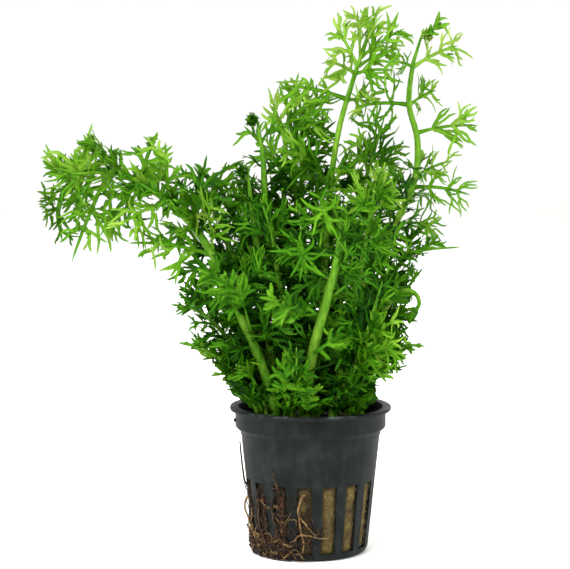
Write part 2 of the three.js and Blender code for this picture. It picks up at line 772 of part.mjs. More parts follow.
// Fits a leaflet: as wished first, then turned about the stem, then shorter.
function fitLeaflet(stem, leaflet, owner, seed) {
  const before = stem.stops.findIndex((stop) => stop > leaflet.place) - 1;
  const a = stem.rings[before];
  const b = stem.rings[before + 1];
  const root = a.at.clone().lerp(b.at, 0.5);
  root.addScaledVector(a.right, (leaflet.edge * (a.half + b.half)) / 2);
  const axis = b.at.clone().sub(a.at).normalize();
  const forward = axis.clone().multiplyScalar(-leaflet.edge);
  for (const shrink of SHRINKS) {
    for (const turn of TURNS_DEG) {
      const reach = leaflet.tip.clone().sub(root).applyAxisAngle(axis, radians(turn)).multiplyScalar(shrink);
      const strip = pinna(root, root.clone().add(reach), forward, seed);
      if (clears(strip, owner)) {
        stand(new Skin().alone(strip, 3, 0).solid(), owner);
        return { ...strip, edge: leaflet.edge, interval: before + 1 };
      }
    }
  }
  return null;
}

function bareStem(frond) {
  const course = new Course(frond.course);
  const leaflets = leafletsOf(frond, course);
  const places = [...new Set(leaflets.map((leaflet) => leaflet.place))];
  return { frond, leaflets, stem: stemOf(frond, course, places) };
}

function fronds(stems) {
  stems.forEach(({ frond, stem }) => stand(new Skin().alone(stem, corners(frond), 0).solid(), frond.name));
  return stems.map(({ frond, leaflets, stem }, number) => {
    const sides = [];
    leaflets.forEach((leaflet, i) => {
      const strip = fitLeaflet(stem, leaflet, frond.name, 100 * number + 9 * i);
      if (strip) {
        sides.push(strip);
      }
    });
    const skin = new Skin().alone({ ...stem, sides }, corners(frond), 0);
    return named(frond.name, toGeometry(skin.points, skin.faces), leafGreen);
  });
}

// Roots: they come out of the rock wool through the slots and spread over the pot's wall. A point is
// its angle from the front, its height and its distance out from the wall.
const ROOT_HALF = 0.42;
const ROOT_TAPER = 0.45;
const ROOT_RISE = 0.8;
const BRANCH_HALF = 0.3;
const BRANCH_RISE = 0.35;
const ROOTS = [
  {
    name: 'root_tan',
    half: 0.55,
    course: [
      [-6, 23, -0.7], [-8, 22.5, 0.9], [-11, 19, 0.9],
      [-10, 13, 0.85], [-7, 7, 0.85], [-8, 3.4, 0.9],
    ],
    branches: [[2.5, [3, 9, 0.9], -1], [3.5, [15, 8, 1.1], -1], [3.5, [-19, 7, 1.2], 1]],
  },
  {
    name: 'root_left_edge',
    course: [[-76, 23, -0.7], [-77, 24.5, 0.9], [-82, 29, 0.9], [-84, 35, 0.8], [-83, 38, 0.8]],
    branches: [],
  },
  {
    name: 'root_left_loop',
    course: [
      [-75, 20, -0.7], [-75, 19, 1.1], [-75, 16, 2],
      [-73, 12, 1.3], [-68, 8, 0.9], [-60, 5, 0.9],
    ],
    branches: [[3.5, [-82, 7, 1], 1]],
  },
  {
    name: 'root_left_upper',
    course: [[-52, 24, -0.7], [-52, 23, 0.9], [-51, 18, 1], [-53, 12, 1], [-48, 7, 1], [-44, 3.5, 1]],
    branches: [[2.5, [-63, 14, 1], 1], [3.5, [-40, 12, 1], -1]],
  },
  {
    name: 'root_middle_upper',
    course: [[-30, 25, -0.7], [-31, 24, 0.9], [-36, 19, 1], [-34, 13, 1], [-29, 8, 1], [-24, 3.6, 1]],
    branches: [[2.5, [-25, 16, 1], -1], [3.5, [-39, 6, 1], 1]],
  },
  {
    name: 'root_streak',
    course: [[-28, 22, -0.7], [-28, 23.6, 0.9], [-31, 27, 0.9], [-34, 32, 0.8]],
    branches: [[1.5, [-37, 26, 0.9], -1]],
  },
];

function onWall([deg, z, lift]) {
  return outward(deg).multiplyScalar(bodyRadius(z) + lift).setZ(z);
}

function root({ name, half = ROOT_HALF, course: points, branches }) {
  const course = new Course(points.map((point) => onWall(point).toArray()));
  const stops = [];
  const step = (place) => PAIR_HALF / course.pace(place);
  for (let place = 0; place <= course.last; place += 1) {
    stops.push(place);
  }
  branches.forEach(([place]) => stops.push(place - step(place), place + step(place)));
  stops.sort((a, b) => a - b);
  stops.pop();
  const rings = stops.map((place) => {
    const heading = course.heading(place);
    const out = course.at(place).setZ(0).normalize();
    const right = heading.clone().cross(out).normalize();
    const thinner = half * (1 - ROOT_TAPER * (place / course.last));
    const top = right.clone().cross(heading);
    return { at: course.at(place), right, top, half: thinner, rise: ROOT_RISE * thinner };
  });
  const sides = branches.map(([place, end, edge]) => {
    const interval = stops.findIndex((stop) => stop > place);
    const tip = onWall(end);
    const from = course.at(place);
    const middle = from.clone().lerp(tip, 0.5);
    const bulge = bodyRadius(middle.z) + end[2] - Math.hypot(middle.x, middle.y);
    const out = middle.clone().setZ(0).normalize();
    middle.addScaledVector(out, bulge);
    const heading = tip.clone().sub(from).normalize();
    const right = heading.clone().cross(out).normalize();
    const ring = { at: middle, right, top: out, half: BRANCH_HALF, rise: BRANCH_RISE };
    return { edge, interval, rings: [ring], sides: [], tip, top: out, rise: BRANCH_RISE };
  });
  const skin = new Skin().alone({ rings, sides, tip: course.at(course.last) }, 4, 0);
  return named(name, toGeometry(skin.points, skin.faces), rootSkin);
}

const stems = FRONDS.map(bareStem);
const pot = potSolid();
const wool = woolSolid(stems);
stand(pot, 'pot');
stand(wool, 'rock_wool');

const waterSprite = new THREE.Group();
waterSprite.add(
  named('pot', solidToGeometry(pot), potPlastic),
  named('rock_wool', solidToGeometry(wool), rockWool),
  ...ROOTS.map(root),
  ...fronds(stems),
);

export default waterSprite;
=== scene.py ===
import math
import random

import bpy
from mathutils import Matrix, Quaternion, Vector, kdtree, noise


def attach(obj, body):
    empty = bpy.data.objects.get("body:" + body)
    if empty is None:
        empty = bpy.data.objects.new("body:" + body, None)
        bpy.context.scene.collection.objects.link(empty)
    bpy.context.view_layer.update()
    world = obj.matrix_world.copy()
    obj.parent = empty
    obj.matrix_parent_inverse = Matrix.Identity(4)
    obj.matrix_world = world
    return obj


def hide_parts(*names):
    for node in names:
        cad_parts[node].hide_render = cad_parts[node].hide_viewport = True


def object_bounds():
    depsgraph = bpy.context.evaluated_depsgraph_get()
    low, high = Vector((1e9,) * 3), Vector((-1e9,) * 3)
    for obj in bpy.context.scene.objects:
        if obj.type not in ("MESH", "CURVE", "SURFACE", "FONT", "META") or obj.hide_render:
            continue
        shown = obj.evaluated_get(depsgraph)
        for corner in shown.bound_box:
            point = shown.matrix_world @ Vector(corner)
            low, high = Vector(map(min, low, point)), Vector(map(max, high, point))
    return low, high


# A water sprite in rock wool in a small slotted pot. Sizes are in millimetres until a mesh is made.
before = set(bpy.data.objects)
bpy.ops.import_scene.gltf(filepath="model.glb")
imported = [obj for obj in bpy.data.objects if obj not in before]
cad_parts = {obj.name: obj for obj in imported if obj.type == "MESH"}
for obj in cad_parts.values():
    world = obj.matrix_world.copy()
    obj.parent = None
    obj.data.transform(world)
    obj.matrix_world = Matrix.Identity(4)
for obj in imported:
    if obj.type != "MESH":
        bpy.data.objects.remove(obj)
cad_low, cad_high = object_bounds()

MM = 0.001
UP = Vector((0, 0, 1))

# Pot
POT_HEIGHT = 50
LIP_RADIUS = 27.5
COLLAR_RADIUS = 25.7
COLLAR_FOOT = 43
BODY_TOP_RADIUS = 23.8
BODY_TOP = 41.4
BODY_FOOT_RADIUS = 19.5
BASE_ROUND = 2.2
WALL = 1.2
SLOT_COUNT = 16
SLOT_WIDTH = 4.9
SLOT_FOOT = 2.6
SLOT_TOP = 25.6
SLOT_FIRST_DEG = 16.3
SLOT_PITCH_DEG = 360 / SLOT_COUNT

# Rock wool and stems
WOOL_EDGE_TOP = 43.5
WOOL_CROWN = 45.6
WOOL_SHOULDER = 13
STEM_FOOT = 38
STEM_TAPER = 0.6
PAIR_HALF = 0.95
RING_CLEAR = 0.3
COURSE_STEP = 0.05

# Leaflets, as the solids have them: where their rings stand, by length, and how their lobes differ.
STATIONS = ((25, (0.12, 0.38, 0.6, 0.8)), (16, (0.14, 0.48, 0.74)), (0, (0.2, 0.62)))
PINNA_HALF = 0.62
PINNA_NARROWING = 0.5
ARCH = 0.1
LOBE_SPREAD_DEG = 46
LOBE_SPREAD_VARIES_DEG = 14
LOBE_REACH = 0.4
LOBE_REACH_VARIES = 0.3
LOBE_SHORTENS = 0.17
LOBE_LIFT = 0.5
LEAN_LOW_DEG = 66
LEAN_HIGH_DEG = 44
LENGTH_VARIES = 0.16
TURNS_DEG = (0, 14, -14, 28, -28, 42, -42, 56, -56, 70, -70, 84, -84)
SHRINKS = (1, 0.82, 0.66, 0.5)
TIP_FOUND = 0.05

# What a frond has unless its row says otherwise: how many leaflets fill it between the solid's and
# round its foot, how broad and how stout it is, how young its stem is, and how its bud looks.
# A rule is (pairs, first place, last place, reach, reach at the end, fold, droop), and a curl is
# (radius, way toward which it rolls, degrees).
USUAL = {
    "fill": 2, "inner": 2, "broad": 1, "stout": 1.08, "stem_age": 0.55, "bud": 1, "bud_age": 0.12,
    "bare_tip": False, "tip": None, "curl": None, "rule": None, "leaflets": None,
    "sprigs": (), "fans": (),
}
FRONDS = []


def frond(name, thick, faces, course, **own):
    """Lists a frond by its half thickness, the way its blade faces and its stem's points. Its leaflets
    are (place on the stem, left tip, right tip), and its sprigs and fans (place, joint, tips, breadth,
    age)."""
    foot, *rest = course
    row = {"name": name, "thick": thick, "faces": faces, "course": [(*foot, STEM_FOOT), *rest]}
    FRONDS.append({**USUAL, **row, **own})


def flat(depth, *places):
    """Tips at one depth, from the x and the z of each."""
    return [(x, depth, z) for x, z in zip(places[::2], places[1::2])]


frond("frond_arching_left", 1.7, (0.3, -1, 0.3), [(-12, -11), (-12, -14, 50), (-16, -17, 65),
      (-23, -18, 82), (-30, -16, 98), (-40, -13, 113), (-53, -11, 124), (-67, -8, 130), (-79, -5, 128),
      (-85, -3, 117)],
      tip=(-84, -2, 106), fill=4, inner=0, broad=1.1, stem_age=0.46,
      leaflets=[(2.5, (-30, -26, 72), (-6, -32, 84)), (3.4, (-43, -13, 89), (-14, -29, 101)),
      (4.3, (-60, -24, 107), (-34, -30, 125)), (4.9, (-50, -4, 104), (-37, 4, 133)),
      (5.6, (-65, -24, 109), (-48, -16, 140)), (6.3, (-71, -2, 108), (-52, 8, 143)),
      (7, (-79, -18, 100), (-66, -12, 139)), (7.8, (-80, 2, 113), (-74, 5, 146)),
      (8.2, None, (-91, 3, 137)), (8.75, None, (-90, -13, 121))],
      sprigs=[
          (3.35, (-26, -27, 91.5), flat(-28, -35, 99.5, -34, 102, -31, 103.5, -34.5, 94, -34, 90,
              -30, 88), 1.2, 0.3),
          (2.35, (-22, -25, 86.5), flat(-27, -29, 97, -25.5, 99, -31.5, 92.5, -31, 88, -22, 98, -20, 94,
              -28.5, 84.5), 1.6, 0.3),
          (3, (-34.5, -17, 98.5), flat(-18, -44.5, 95.5, -43, 100.5, -40.5, 90.5, -36.5, 88, -40, 104.5,
              -33, 88.5), 1.3, 0.27),
          (5, (-47.5, -15, 121.5), flat(-17, -53.5, 124.5, -51.5, 118.5, -49, 115.5, -44, 116, -43, 124,
              -49.5, 126.5), 1.3, 0.3),
          (6, (-57, -14, 127), flat(-16, -62.5, 130, -61, 123.5, -57, 120.5, -53, 122, -58.5, 132,
              -54, 130), 1.3, 0.34)],
      fans=[
          (7.7, (-77.5, -13, 131), flat(-14, -87, 128, -87.5, 136, -84, 135, -76, 139, -72.5, 143.5,
              -66.5, 136, -76.5, 121.5, -73.5, 119, -70.5, 128, -83, 123.5), 1.5, 0.58)])
frond("frond_front_middle", 1.9, (0.2, -1, 0.4), [(-2, -13), (-2, -15, 50), (0, -23, 69), (4, -28, 86),
      (8, -30, 102), (9, -29, 112)],
      tip=(6, -31, 121), inner=0, stem_age=0.52,
      leaflets=[(3.7, (-7, -36, 91), (20, -36, 96)), (4.2, (-10, -34, 107), (23, -34, 110)),
      (4.7, (-5, -34, 118), (19, -32, 123))],
      sprigs=[
          (2.9, (-3, -30, 84), flat(-32, -14, 89, -9.5, 91, -5, 92, -2, 89.5, -13, 84, -9, 82), 1.8,
              0.33),
          (1.1, (-2, -24.5, 52.5), flat(-26.5, 1, 60, -4, 57.5, 2.5, 57) + flat(-26, -3.5, 54.5, 2, 54),
              1.3, 0.34),
          (2.1, (2, -29, 72.5), flat(-30, 10.5, 77.5, 7, 80, 10.5, 73, 6, 69.5), 1.1, 0.3),
          (3.15, (19.5, -30, 100), flat(-31, 26, 102, 23, 105.5, 21, 103.5, 26.5, 99, 23.5, 97),
              1, 0.28)],
      fans=[
          (4.1, (-3, -34, 104.5), flat(-35, -12.5, 106.5, -13, 103.5, -11.5, 101, -8.5, 99, -6, 97,
              -3.5, 96, 0, 96, 3, 97.5, 5.5, 100, 6, 103.5, -2.5, 111.5, -7, 108.5, 1, 109.5), 1.1, 0.3),
          (4.6, (4, -33, 118.5), flat(-34.5, -4, 122.5, -1.5, 125, 4, 126, -3.5, 117, -4, 114.5,
              3, 112.5, 7.5, 111.5, 11, 113, 12.5, 118, 9, 123), 1.15, 0.33)])
frond("frond_tall_middle", 1.25, (0, -1, 0.2), [(2, -3), (2, -2, 52), (4, 0, 86), (6, -1, 118),
      (9, -3, 142), (14, -3, 160), (17, -3, 169)],
      tip=(23, -4, 185), fill=0, broad=1.12,
      leaflets=[(3.3, (-9, -14, 139), (22, 6, 138)), (4.6, (-10, -12, 158), (21, 10, 152)),
      (5.2, (5, -14, 166), (27, -14, 163)), (5.5, (8, 6, 179), (30, 6, 171)),
      (5.85, (15, -10, 183), (31, -8, 177))])
# This frond's bud is painted bright, as painted light against the shade of its tight curl.
frond("frond_tall_right", 1.2, (0, -1, 0.2), [(8, 2), (8, 2, 52), (16, 3, 84), (27, 3, 108),
      (35, 2, 126), (36, 1, 140), (33, 0, 152), (34, 0, 164), (35.4, 0, 169.5), (37.2, -0.5, 175.5)],
      curl=(1.9, (1, 0, 0), 320), fill=0, broad=0.88, stout=1.2, bud=1.15, bud_age=0.7,
      leaflets=[(3.2, (24, -14, 127), (44, 12, 110)), (3.9, None, (53, -10, 122)),
      (4.15, None, (49, 10, 133)), (5.2, None, (56, -6, 145)), (6, (14, -10, 151), (43, 10, 157)),
      (7.1, (26, -10, 166), (50, 6, 172))],
      sprigs=[
          (8.95, (39.6, -2.5, 175.6), flat(-3, 43.6, 179.6, 41.6, 180.2, 39.9, 178.8, 44.2, 177.4,
              42.8, 175.4), 1.2, 0.5)])
frond("frond_upper_left", 1.2, (0, -1, 0.2), [(-3, 4), (-3, 4, 52), (-6, 4, 86), (-9, 3, 118),
      (-8, 2, 144)],
      tip=(-4, 1, 163),
      leaflets=[(2.4, (-26, 10, 106), (9, -6, 104)), (2.9, (-27, 8, 124), (10, -8, 126)),
      (3.4, (-23, 10, 145), (7, 12, 147)), (3.8, (-12, 8, 158), (4, -8, 159))])
frond("frond_upper_right", 1.15, (0.6, -0.8, 0.3), [(4, 7), (4, 7, 52), (9, 8, 86), (15, 6, 114),
      (20, 4, 131)],
      tip=(25, 3, 148), rule=(4, 2.2, 3.9, 22, 14, 10, 0))
frond("frond_upper_middle", 1.1, (-0.6, -0.8, 0.3), [(-2, 9), (-2, 9, 52), (-3, 10, 90), (-5, 8, 120),
      (-5, 6, 141)],
      tip=(-1, 5, 156), rule=(4, 2.3, 3.9, 20, 13, 12, 0))
frond("young_frond_tall", 0.95, (0, -1, 0.2), [(-7, -1), (-7, -1, 52), (-11, -2, 86), (-15, -5, 116),
      (-16, -6, 134), (-18, -6, 147)],
      curl=(1.8, (-1, 0.2, 0), 320), fill=0, stout=1.7, bud=1.35,
      leaflets=[(3.2, (-27, -12, 118), None), (4.4, None, (-11, -9, 147))])
frond("young_frond_short", 0.9, (0, -1, 0.2), [(-11, -4), (-11, -4, 52), (-15, -8, 80), (-18, -11, 104),
      (-20, -11, 120), (-21, -11, 130)],
      curl=(1.8, (-1, 0, 0), 260), fill=0, stout=1.6, bud=1.35,
      leaflets=[(3.3, (-31, -16, 113), (-8, -18, 118))])
frond("frond_left_high", 1.15, (0.6, -0.8, 0.4), [(-14, 1), (-14, 1, 52), (-21, 0, 82), (-28, -1, 106),
      (-34, -2, 121)],
      tip=(-39, -3, 131), rule=(4, 2.2, 3.9, 24, 14, 18, 0.12))
frond("frond_left_middle", 1.05, (0.2, -0.8, 0.6), [(-16, -6), (-16, -6, 51), (-23, -9, 66),
      (-30, -12, 77), (-38, -14, 84)],
      tip=(-47, -15, 86), rule=(4, 2.1, 3.8, 17, 9, 10, -0.15))
frond("frond_left_low", 0.95, (0.2, -0.8, 0.6), [(-18, -11), (-18, -11, 50), (-23, -15, 60),
      (-30, -18, 68), (-36, -20, 72)],
      tip=(-44, -21, 74), rule=(2, 2.3, 3.7, 13, 8, 10, -0.3))
frond("frond_rim_left", 0.75, (0.2, -0.8, 0.6), [(-15, -15), (-15, -15, 49), (-17, -18, 56),
      (-19, -20, 61)],
      tip=(-22, -21, 66), rule=(2, 1.9, 2.8, 6, 5, 10, 0))
frond("frond_rim_front", 0.8, (0, -0.6, 0.8), [(-7, -18), (-7, -18, 50), (-6, -23, 58), (-5, -27, 65)],
      tip=(-5, -30, 74), rule=(3, 1.4, 2.8, 13, 8, 0, 0), inner=1,
      sprigs=[
          (1.05, (-9.5, -27, 58.5), flat(-28, -6.5, 71, -13, 67.5, -3, 67.5, -2, 63, -12.5, 62.5), 1.3,
              0.34)])
frond("frond_front_right", 1.1, (-0.1, -0.9, 0.5), [(7, -16), (7, -16, 50), (12, -22, 62), (17, -26, 74),
      (20, -28, 85)],
      tip=(23, -29, 96), rule=(4, 2.1, 3.7, 18, 11, 12, -0.25),
      sprigs=[
          (2.3, (17.5, -26, 71.5), flat(-27, 21.5, 79, 17, 78, 25, 75.5, 25, 72, 22, 68.5, 16.5, 75),
              1.6, 0.3),
          (1.5, (13.5, -24, 59.5), flat(-25, 10, 65.5, 8, 62.5, 16.5, 64.5, 18.5, 60.5), 1.2, 0.3)])
frond("frond_rim_right", 0.8, (-0.2, -0.8, 0.6), [(13, -14), (13, -14, 49), (15, -18, 57), (18, -20, 63)],
      tip=(22, -21, 67), rule=(2, 1.5, 2.8, 8, 5, 10, 0))
frond("frond_right_low", 0.95, (-0.3, -0.8, 0.6), [(17, -8), (17, -8, 50), (20, -11, 61), (25, -13, 68),
      (30, -14, 72)],
      tip=(38, -15, 72), rule=(3, 2.3, 3.6, 12, 7, 10, -0.25))
frond("frond_right_curled", 1.05, (0, -1, 0.3), [(14, -2), (14, -2, 52), (19, -6, 72), (26, -9, 86),
      (31, -10, 90), (35, -10, 89), (36, -10, 85)],
      tip=(32, -10, 81), fill=0, stout=1.35, stem_age=0.6,
      leaflets=[(1.8, (6, -14, 78), (28, -14, 66)), (2.5, (10, -16, 92), (36, -12, 80)),
      (3.2, (20, -12, 102), None), (4.2, (37, -14, 98), None)])
frond("frond_right_middle", 1.1, (-0.5, -0.7, 0.5), [(13, 5), (13, 5, 52), (19, 5, 76), (27, 4, 93),
      (36, 3, 102)],
      tip=(52, 2, 104), rule=(4, 1.8, 3.7, 18, 10, 14, 0), fill=1, bare_tip=True,
      sprigs=[
          (3.9, (35.3, -6, 102.8), flat(-8, 43.6, 106.8, 39.9, 108.4, 36.6, 106.8, 42.3, 103.6) +
              flat(-7, 39.3, 100.6), 1.1, 0.3),
          (3, (29.5, -6, 99.5), flat(-8, 35, 104.5, 30.5, 105.5, 27, 102.5) + flat(-7, 37, 99, 33, 97),
              1.1, 0.28)])
frond("frond_middle_right", 1.15, (0.4, -0.9, 0.3), [(8, -8), (8, -8, 52), (13, -13, 78), (17, -16, 102),
      (20, -17, 120)],
      tip=(22, -18, 132), rule=(4, 1.6, 3.8, 22, 13, 16, 0.08), fill=3)
frond("frond_middle_left", 1.15, (-0.4, -0.9, 0.3), [(-6, -8), (-6, -8, 52), (-8, -14, 76),
      (-11, -18, 96), (-13, -19, 110)],
      tip=(-17, -20, 122), rule=(4, 1.5, 3.8, 22, 13, 16, 0.08), fill=3)
frond("frond_back_left", 1.1, (0.5, -0.6, 0.6), [(-10, 10), (-10, 10, 52), (-16, 16, 76), (-22, 22, 97),
      (-26, 26, 112)],
      tip=(-30, 29, 124), rule=(3, 1.9, 3.8, 23, 13, 14, 0.1), fill=4)
frond("frond_back_middle", 1.15, (0, -0.8, 0.6), [(0, 13), (0, 13, 52), (-1, 20, 80), (-2, 25, 106),
      (-3, 27, 125)],
      tip=(-3, 29, 138), rule=(3, 1.8, 3.8, 24, 13, 14, 0.1), fill=5)
frond("frond_back_right", 1.1, (-0.4, -0.7, 0.6), [(10, 11), (10, 11, 52), (15, 17, 78), (20, 22, 102),
      (23, 24, 117)],
      tip=(27, 26, 129), rule=(3, 1.9, 3.8, 22, 13, 14, 0.1), fill=4)
frond("frond_back_low_left", 1, (0.4, -0.4, 0.8), [(-17, 6), (-17, 6, 51), (-23, 13, 66), (-28, 19, 77)],
      tip=(-35, 26, 84), rule=(2, 1.7, 2.8, 16, 10, 8, 0), fill=5)
frond("frond_back_low_middle", 1, (0, -0.4, 0.9), [(3, 18), (3, 18, 51), (5, 25, 64), (6, 31, 74)],
      tip=(7, 40, 81), rule=(2, 1.4, 2.8, 17, 10, 8, 0), fill=5)
frond("frond_back_low_right", 1, (-0.4, -0.4, 0.8), [(17, 8), (17, 8, 51), (22, 14, 64), (26, 19, 73)],
      tip=(32, 25, 80), rule=(2, 1.7, 2.8, 14, 9, 8, 0), fill=5)

ROOTS = {
    "root_tan": ([(-6, 23, -0.7), (-8, 22.5, 0.9), (-11, 19, 0.9), (-10, 13, 0.85), (-7, 7, 0.85),
        (-8, 3.4, 0.9)], [(2.5, (3, 9, 0.9)), (3.5, (15, 8, 1.1)), (3.5, (-19, 7, 1.2))]),
    "root_left_edge": ([(-76, 23, -0.7), (-77, 24.5, 0.9), (-82, 29, 0.9), (-84, 35, 0.8),
        (-83, 38, 0.8)], []),
    "root_left_loop": ([(-75, 20, -0.7), (-75, 19, 1.1), (-75, 16, 2), (-73, 12, 1.3), (-68, 8, 0.9),
        (-60, 5, 0.9)], [(3.5, (-82, 7, 1))]),
    "root_left_upper": ([(-52, 24, -0.7), (-52, 23, 0.9), (-51, 18, 1), (-53, 12, 1), (-48, 7, 1),
        (-44, 3.5, 1)], [(2.5, (-63, 14, 1)), (3.5, (-40, 12, 1))]),
    "root_middle_upper": ([(-30, 25, -0.7), (-31, 24, 0.9), (-36, 19, 1), (-34, 13, 1), (-29, 8, 1),
        (-24, 3.6, 1)], [(2.5, (-25, 16, 1)), (3.5, (-39, 6, 1))]),
    "root_streak": ([(-28, 22, -0.7), (-28, 23.6, 0.9), (-31, 27, 0.9), (-34, 32, 0.8)], [(1.5,
        (-37, 26, 0.9))]),
}


def chance(seed):
    """The solids' own number from 0 to 1 for a seed."""
    wave = math.sin(seed * 12.9898 + 4.1414) * 43758.5453
    return wave - math.floor(wave)


def lerp(a, b, share):
    return a + (b - a) * share


def clamp(value, low, high):
    return min(max(value, low), high)


class Course:
    """A smooth way through given points. Place 2.5 is halfway between the third and the fourth."""

    def __init__(self, points):
        self.points = [Vector(p) for p in points]
        self.last = len(points) - 1

    def at(self, place):
        place = clamp(place, 0, self.last)
        i = min(int(place), self.last - 1)
        share = place - i
        p = self.points
        before = p[i - 1] if i > 0 else 2 * p[0] - p[1]
        after = p[i + 2] if i + 2 <= self.last else 2 * p[-1] - p[-2]
        leave, arrive = (p[i + 1] - before) / 2, (after - p[i]) / 2
        square, cube = share ** 2, share ** 3
        return (
            p[i]
            + leave * share
            + (3 * (p[i + 1] - p[i]) - 2 * leave - arrive) * square
            + (2 * (p[i] - p[i + 1]) + leave + arrive) * cube
        )

    def step(self, place):
        """The way over a short span about a place, and how much of a place that is."""
        start, end = max(place - COURSE_STEP, 0), min(place + COURSE_STEP, self.last)
        return self.at(end) - self.at(start), end - start

    def heading(self, place):
        return self.step(place)[0].normalized()

    def pace(self, place):
        way, span = self.step(place)
        return way.length / span


# ---------------------------------------------------------------------------------------------
# Finishes

def linear(colour):
    """An sRGB hex value as the linear colour that Blender mixes."""
    parts = [int(colour[i:i + 2], 16) / 255 for i in (1, 3, 5)]
    return tuple(c / 12.92 if c <= 0.04045 else ((c + 0.055) / 1.055) ** 2.4 for c in parts) + (1,)


def add(tree, kind, inputs=None, stops=(), **settings):
    """Adds a node with its settings, its input values and links, and a ramp's stops."""
    made = tree.nodes.new("ShaderNode" + kind)
    for key, value in settings.items():
        setattr(made, key, value)
    for key, value in (inputs or {}).items():
        if isinstance(value, bpy.types.NodeSocket):
            tree.links.new(value, made.inputs[key])
        else:
            made.inputs[key].default_value = value
    for i, (position, colour) in enumerate(stops):
        ramp = made.color_ramp.elements
        stop = ramp[i] if i < len(ramp) else ramp.new(position)
        stop.position = position
        stop.color = linear(colour)
    return made.outputs


def finish(name, build, *tones):
    """A node material. What it is made of builds its surface from the place on the piece in metres."""
    material = bpy.data.materials.new(name)
    material.use_nodes = True
    tree = material.node_tree
    tree.nodes.clear()
    surface = build(tree, add(tree, "TexCoord")["Object"], *tones)
    add(tree, "OutputMaterial", {"Surface": surface})
    return material


def clouds(tree, place, size_mm, detail, roughness=0.5):
    """A cloudy pattern whose marks are this many millimetres apart."""
    return add(tree, "TexNoise", {
        "Vector": place, "Scale": 1 / (size_mm * MM), "Detail": detail, "Roughness": roughness})["Fac"]


def drawn_out(tree, place, share):
    """The place with its height squeezed, so that a pattern is drawn out upward."""
    return add(tree, "Mapping", {"Vector": place, "Scale": (1, 1, share)})[0]


def maths(tree, operation, *values):
    return add(tree, "Math", dict(enumerate(values)), operation=operation)[0]


def colours(tree, value, *stops):
    return add(tree, "ValToRGB", {"Fac": value}, stops)["Color"]


def mixed(tree, share, one, other, **how):
    return add(tree, "Mix", {"Factor": share, "A": one, "B": other}, data_type="RGBA", **how)["Result"]


def age_of(tree):
    """The number that each point of a grown piece carries: how young a leaf is, with painted shade and
    light, or how clean the wool.
    """
    return add(tree, "Attribute", attribute_name="age", attribute_type="GEOMETRY")["Fac"]


def relief(tree, height, strength, depth_mm):
    return add(tree, "Bump", {"Height": height, "Strength": strength, "Distance": depth_mm * MM})[0]


def skin(tree, colour, roughness, ior, uneven=None, shine=0.5):
    """The outer skin of a thing, with its relief and how strongly it mirrors."""
    inputs = {"Base Color": colour, "Roughness": roughness, "IOR": ior, "Specular IOR Level": shine}
    if uneven:
        inputs["Normal"] = uneven
    return add(tree, "BsdfPrincipled", inputs)[0]


def fern_leaf(tree, place):
    """Living fern leaf: thin green blade under a smooth waxy skin. The skin gives a soft gloss, light
    from behind glows through the blade yellow green, and old leaf is darker than young. The same age
    holds painted shade and painted light."""
    cloudy = maths(tree, "SUBTRACT", clouds(tree, place, 7, 5, 0.68), 0.5)
    green = colours(tree, maths(tree, "MULTIPLY_ADD", cloudy, 0.65, age_of(tree)),
                    (0, "#0c3301"), (0.25, "#306a05"), (0.5, "#5d9418"), (1, "#b2cb5a"))
    cells = relief(tree, clouds(tree, place, 0.7, 2, 0.6), 0.25, 0.12)
    blade = skin(tree, green, 0.55, 1.45, cells, 0.08)
    through = add(tree, "BsdfTranslucent", {"Color": mixed(tree, 0.5, green, linear("#93bd1e"))})[0]
    return add(tree, "MixShader", {0: 0.24, 1: blade, 2: through})[0]


def fern_stalk(tree, place):
    """Living fern stalk: round, juicy and ribbed along its length, with pale and dark streaks."""
    ribs = clouds(tree, drawn_out(tree, place, 0.1), 0.9, 3, 0.6)
    marks = maths(tree, "ADD", ribs, clouds(tree, place, 3, 4, 0.7))
    streaked = maths(tree, "MULTIPLY_ADD", maths(tree, "SUBTRACT", marks, 1.0), 0.8, age_of(tree))
    green = colours(tree, streaked, (0, "#1d4a04"), (0.35, "#447a14"), (0.65, "#6f9a2a"), (1, "#a3c050"))
    return skin(tree, green, 0.45, 1.45, relief(tree, ribs, 0.5, 0.2), 0.1)


def polypropylene(tree, place):
    """Polypropylene, moulded: a dull even skin, a little paler where it has been rubbed and where water
    has dried, with specks of dirt. It takes no gloss; a highlight is painted in patches on the lip's top
    edge."""
    stains = clouds(tree, place, 9, 6, 0.7)
    runs = clouds(tree, drawn_out(tree, place, 0.12), 2.5, 3, 0.6)
    colour = colours(tree, maths(tree, "MULTIPLY_ADD", runs, 0.4, stains),
                     (0.5, "#0f1413"), (0.7, "#171c1b"), (0.88, "#232827"))
    specks = add(tree, "TexVoronoi", {"Vector": place, "Scale": 1 / (3.4 * MM)})
    dots = colours(tree, specks["Distance"], (0.07, "#15120c"), (0.1, "#ffffff"))
    some = maths(tree, "GREATER_THAN", add(tree, "SeparateColor", {"Color": specks["Color"]})[0], 0.72)
    spotted = mixed(tree, some, colour, dots, blend_type="MULTIPLY")
    # A painted highlight: a paler colour added on the lip's top edge, in patches that follow the stains.
    height = add(tree, "SeparateXYZ", {"Vector": place})["Z"]
    edge = add(tree, "MapRange", {"Value": height, "From Min": 49.5 * MM, "From Max": 49.9 * MM})[0]
    wet = add(tree, "MapRange", {"Value": stains, "From Min": 0.48, "From Max": 0.6})[0]
    painted_lip_highlight = colours(tree, maths(tree, "MULTIPLY", edge, wet), (0, "#000000"), (1, "#454e4b"))
    with_painted_highlight = mixed(tree, 1.0, spotted, painted_lip_highlight, blend_type="ADD")
    wear = add(tree, "MapRange", {"Value": stains, "To Min": 0.42, "To Max": 0.6})[0]
    grain = relief(tree, clouds(tree, place, 0.8, 2), 0.2, 0.08)
    return skin(tree, with_painted_highlight, wear, 1.49, grain, 0.08)


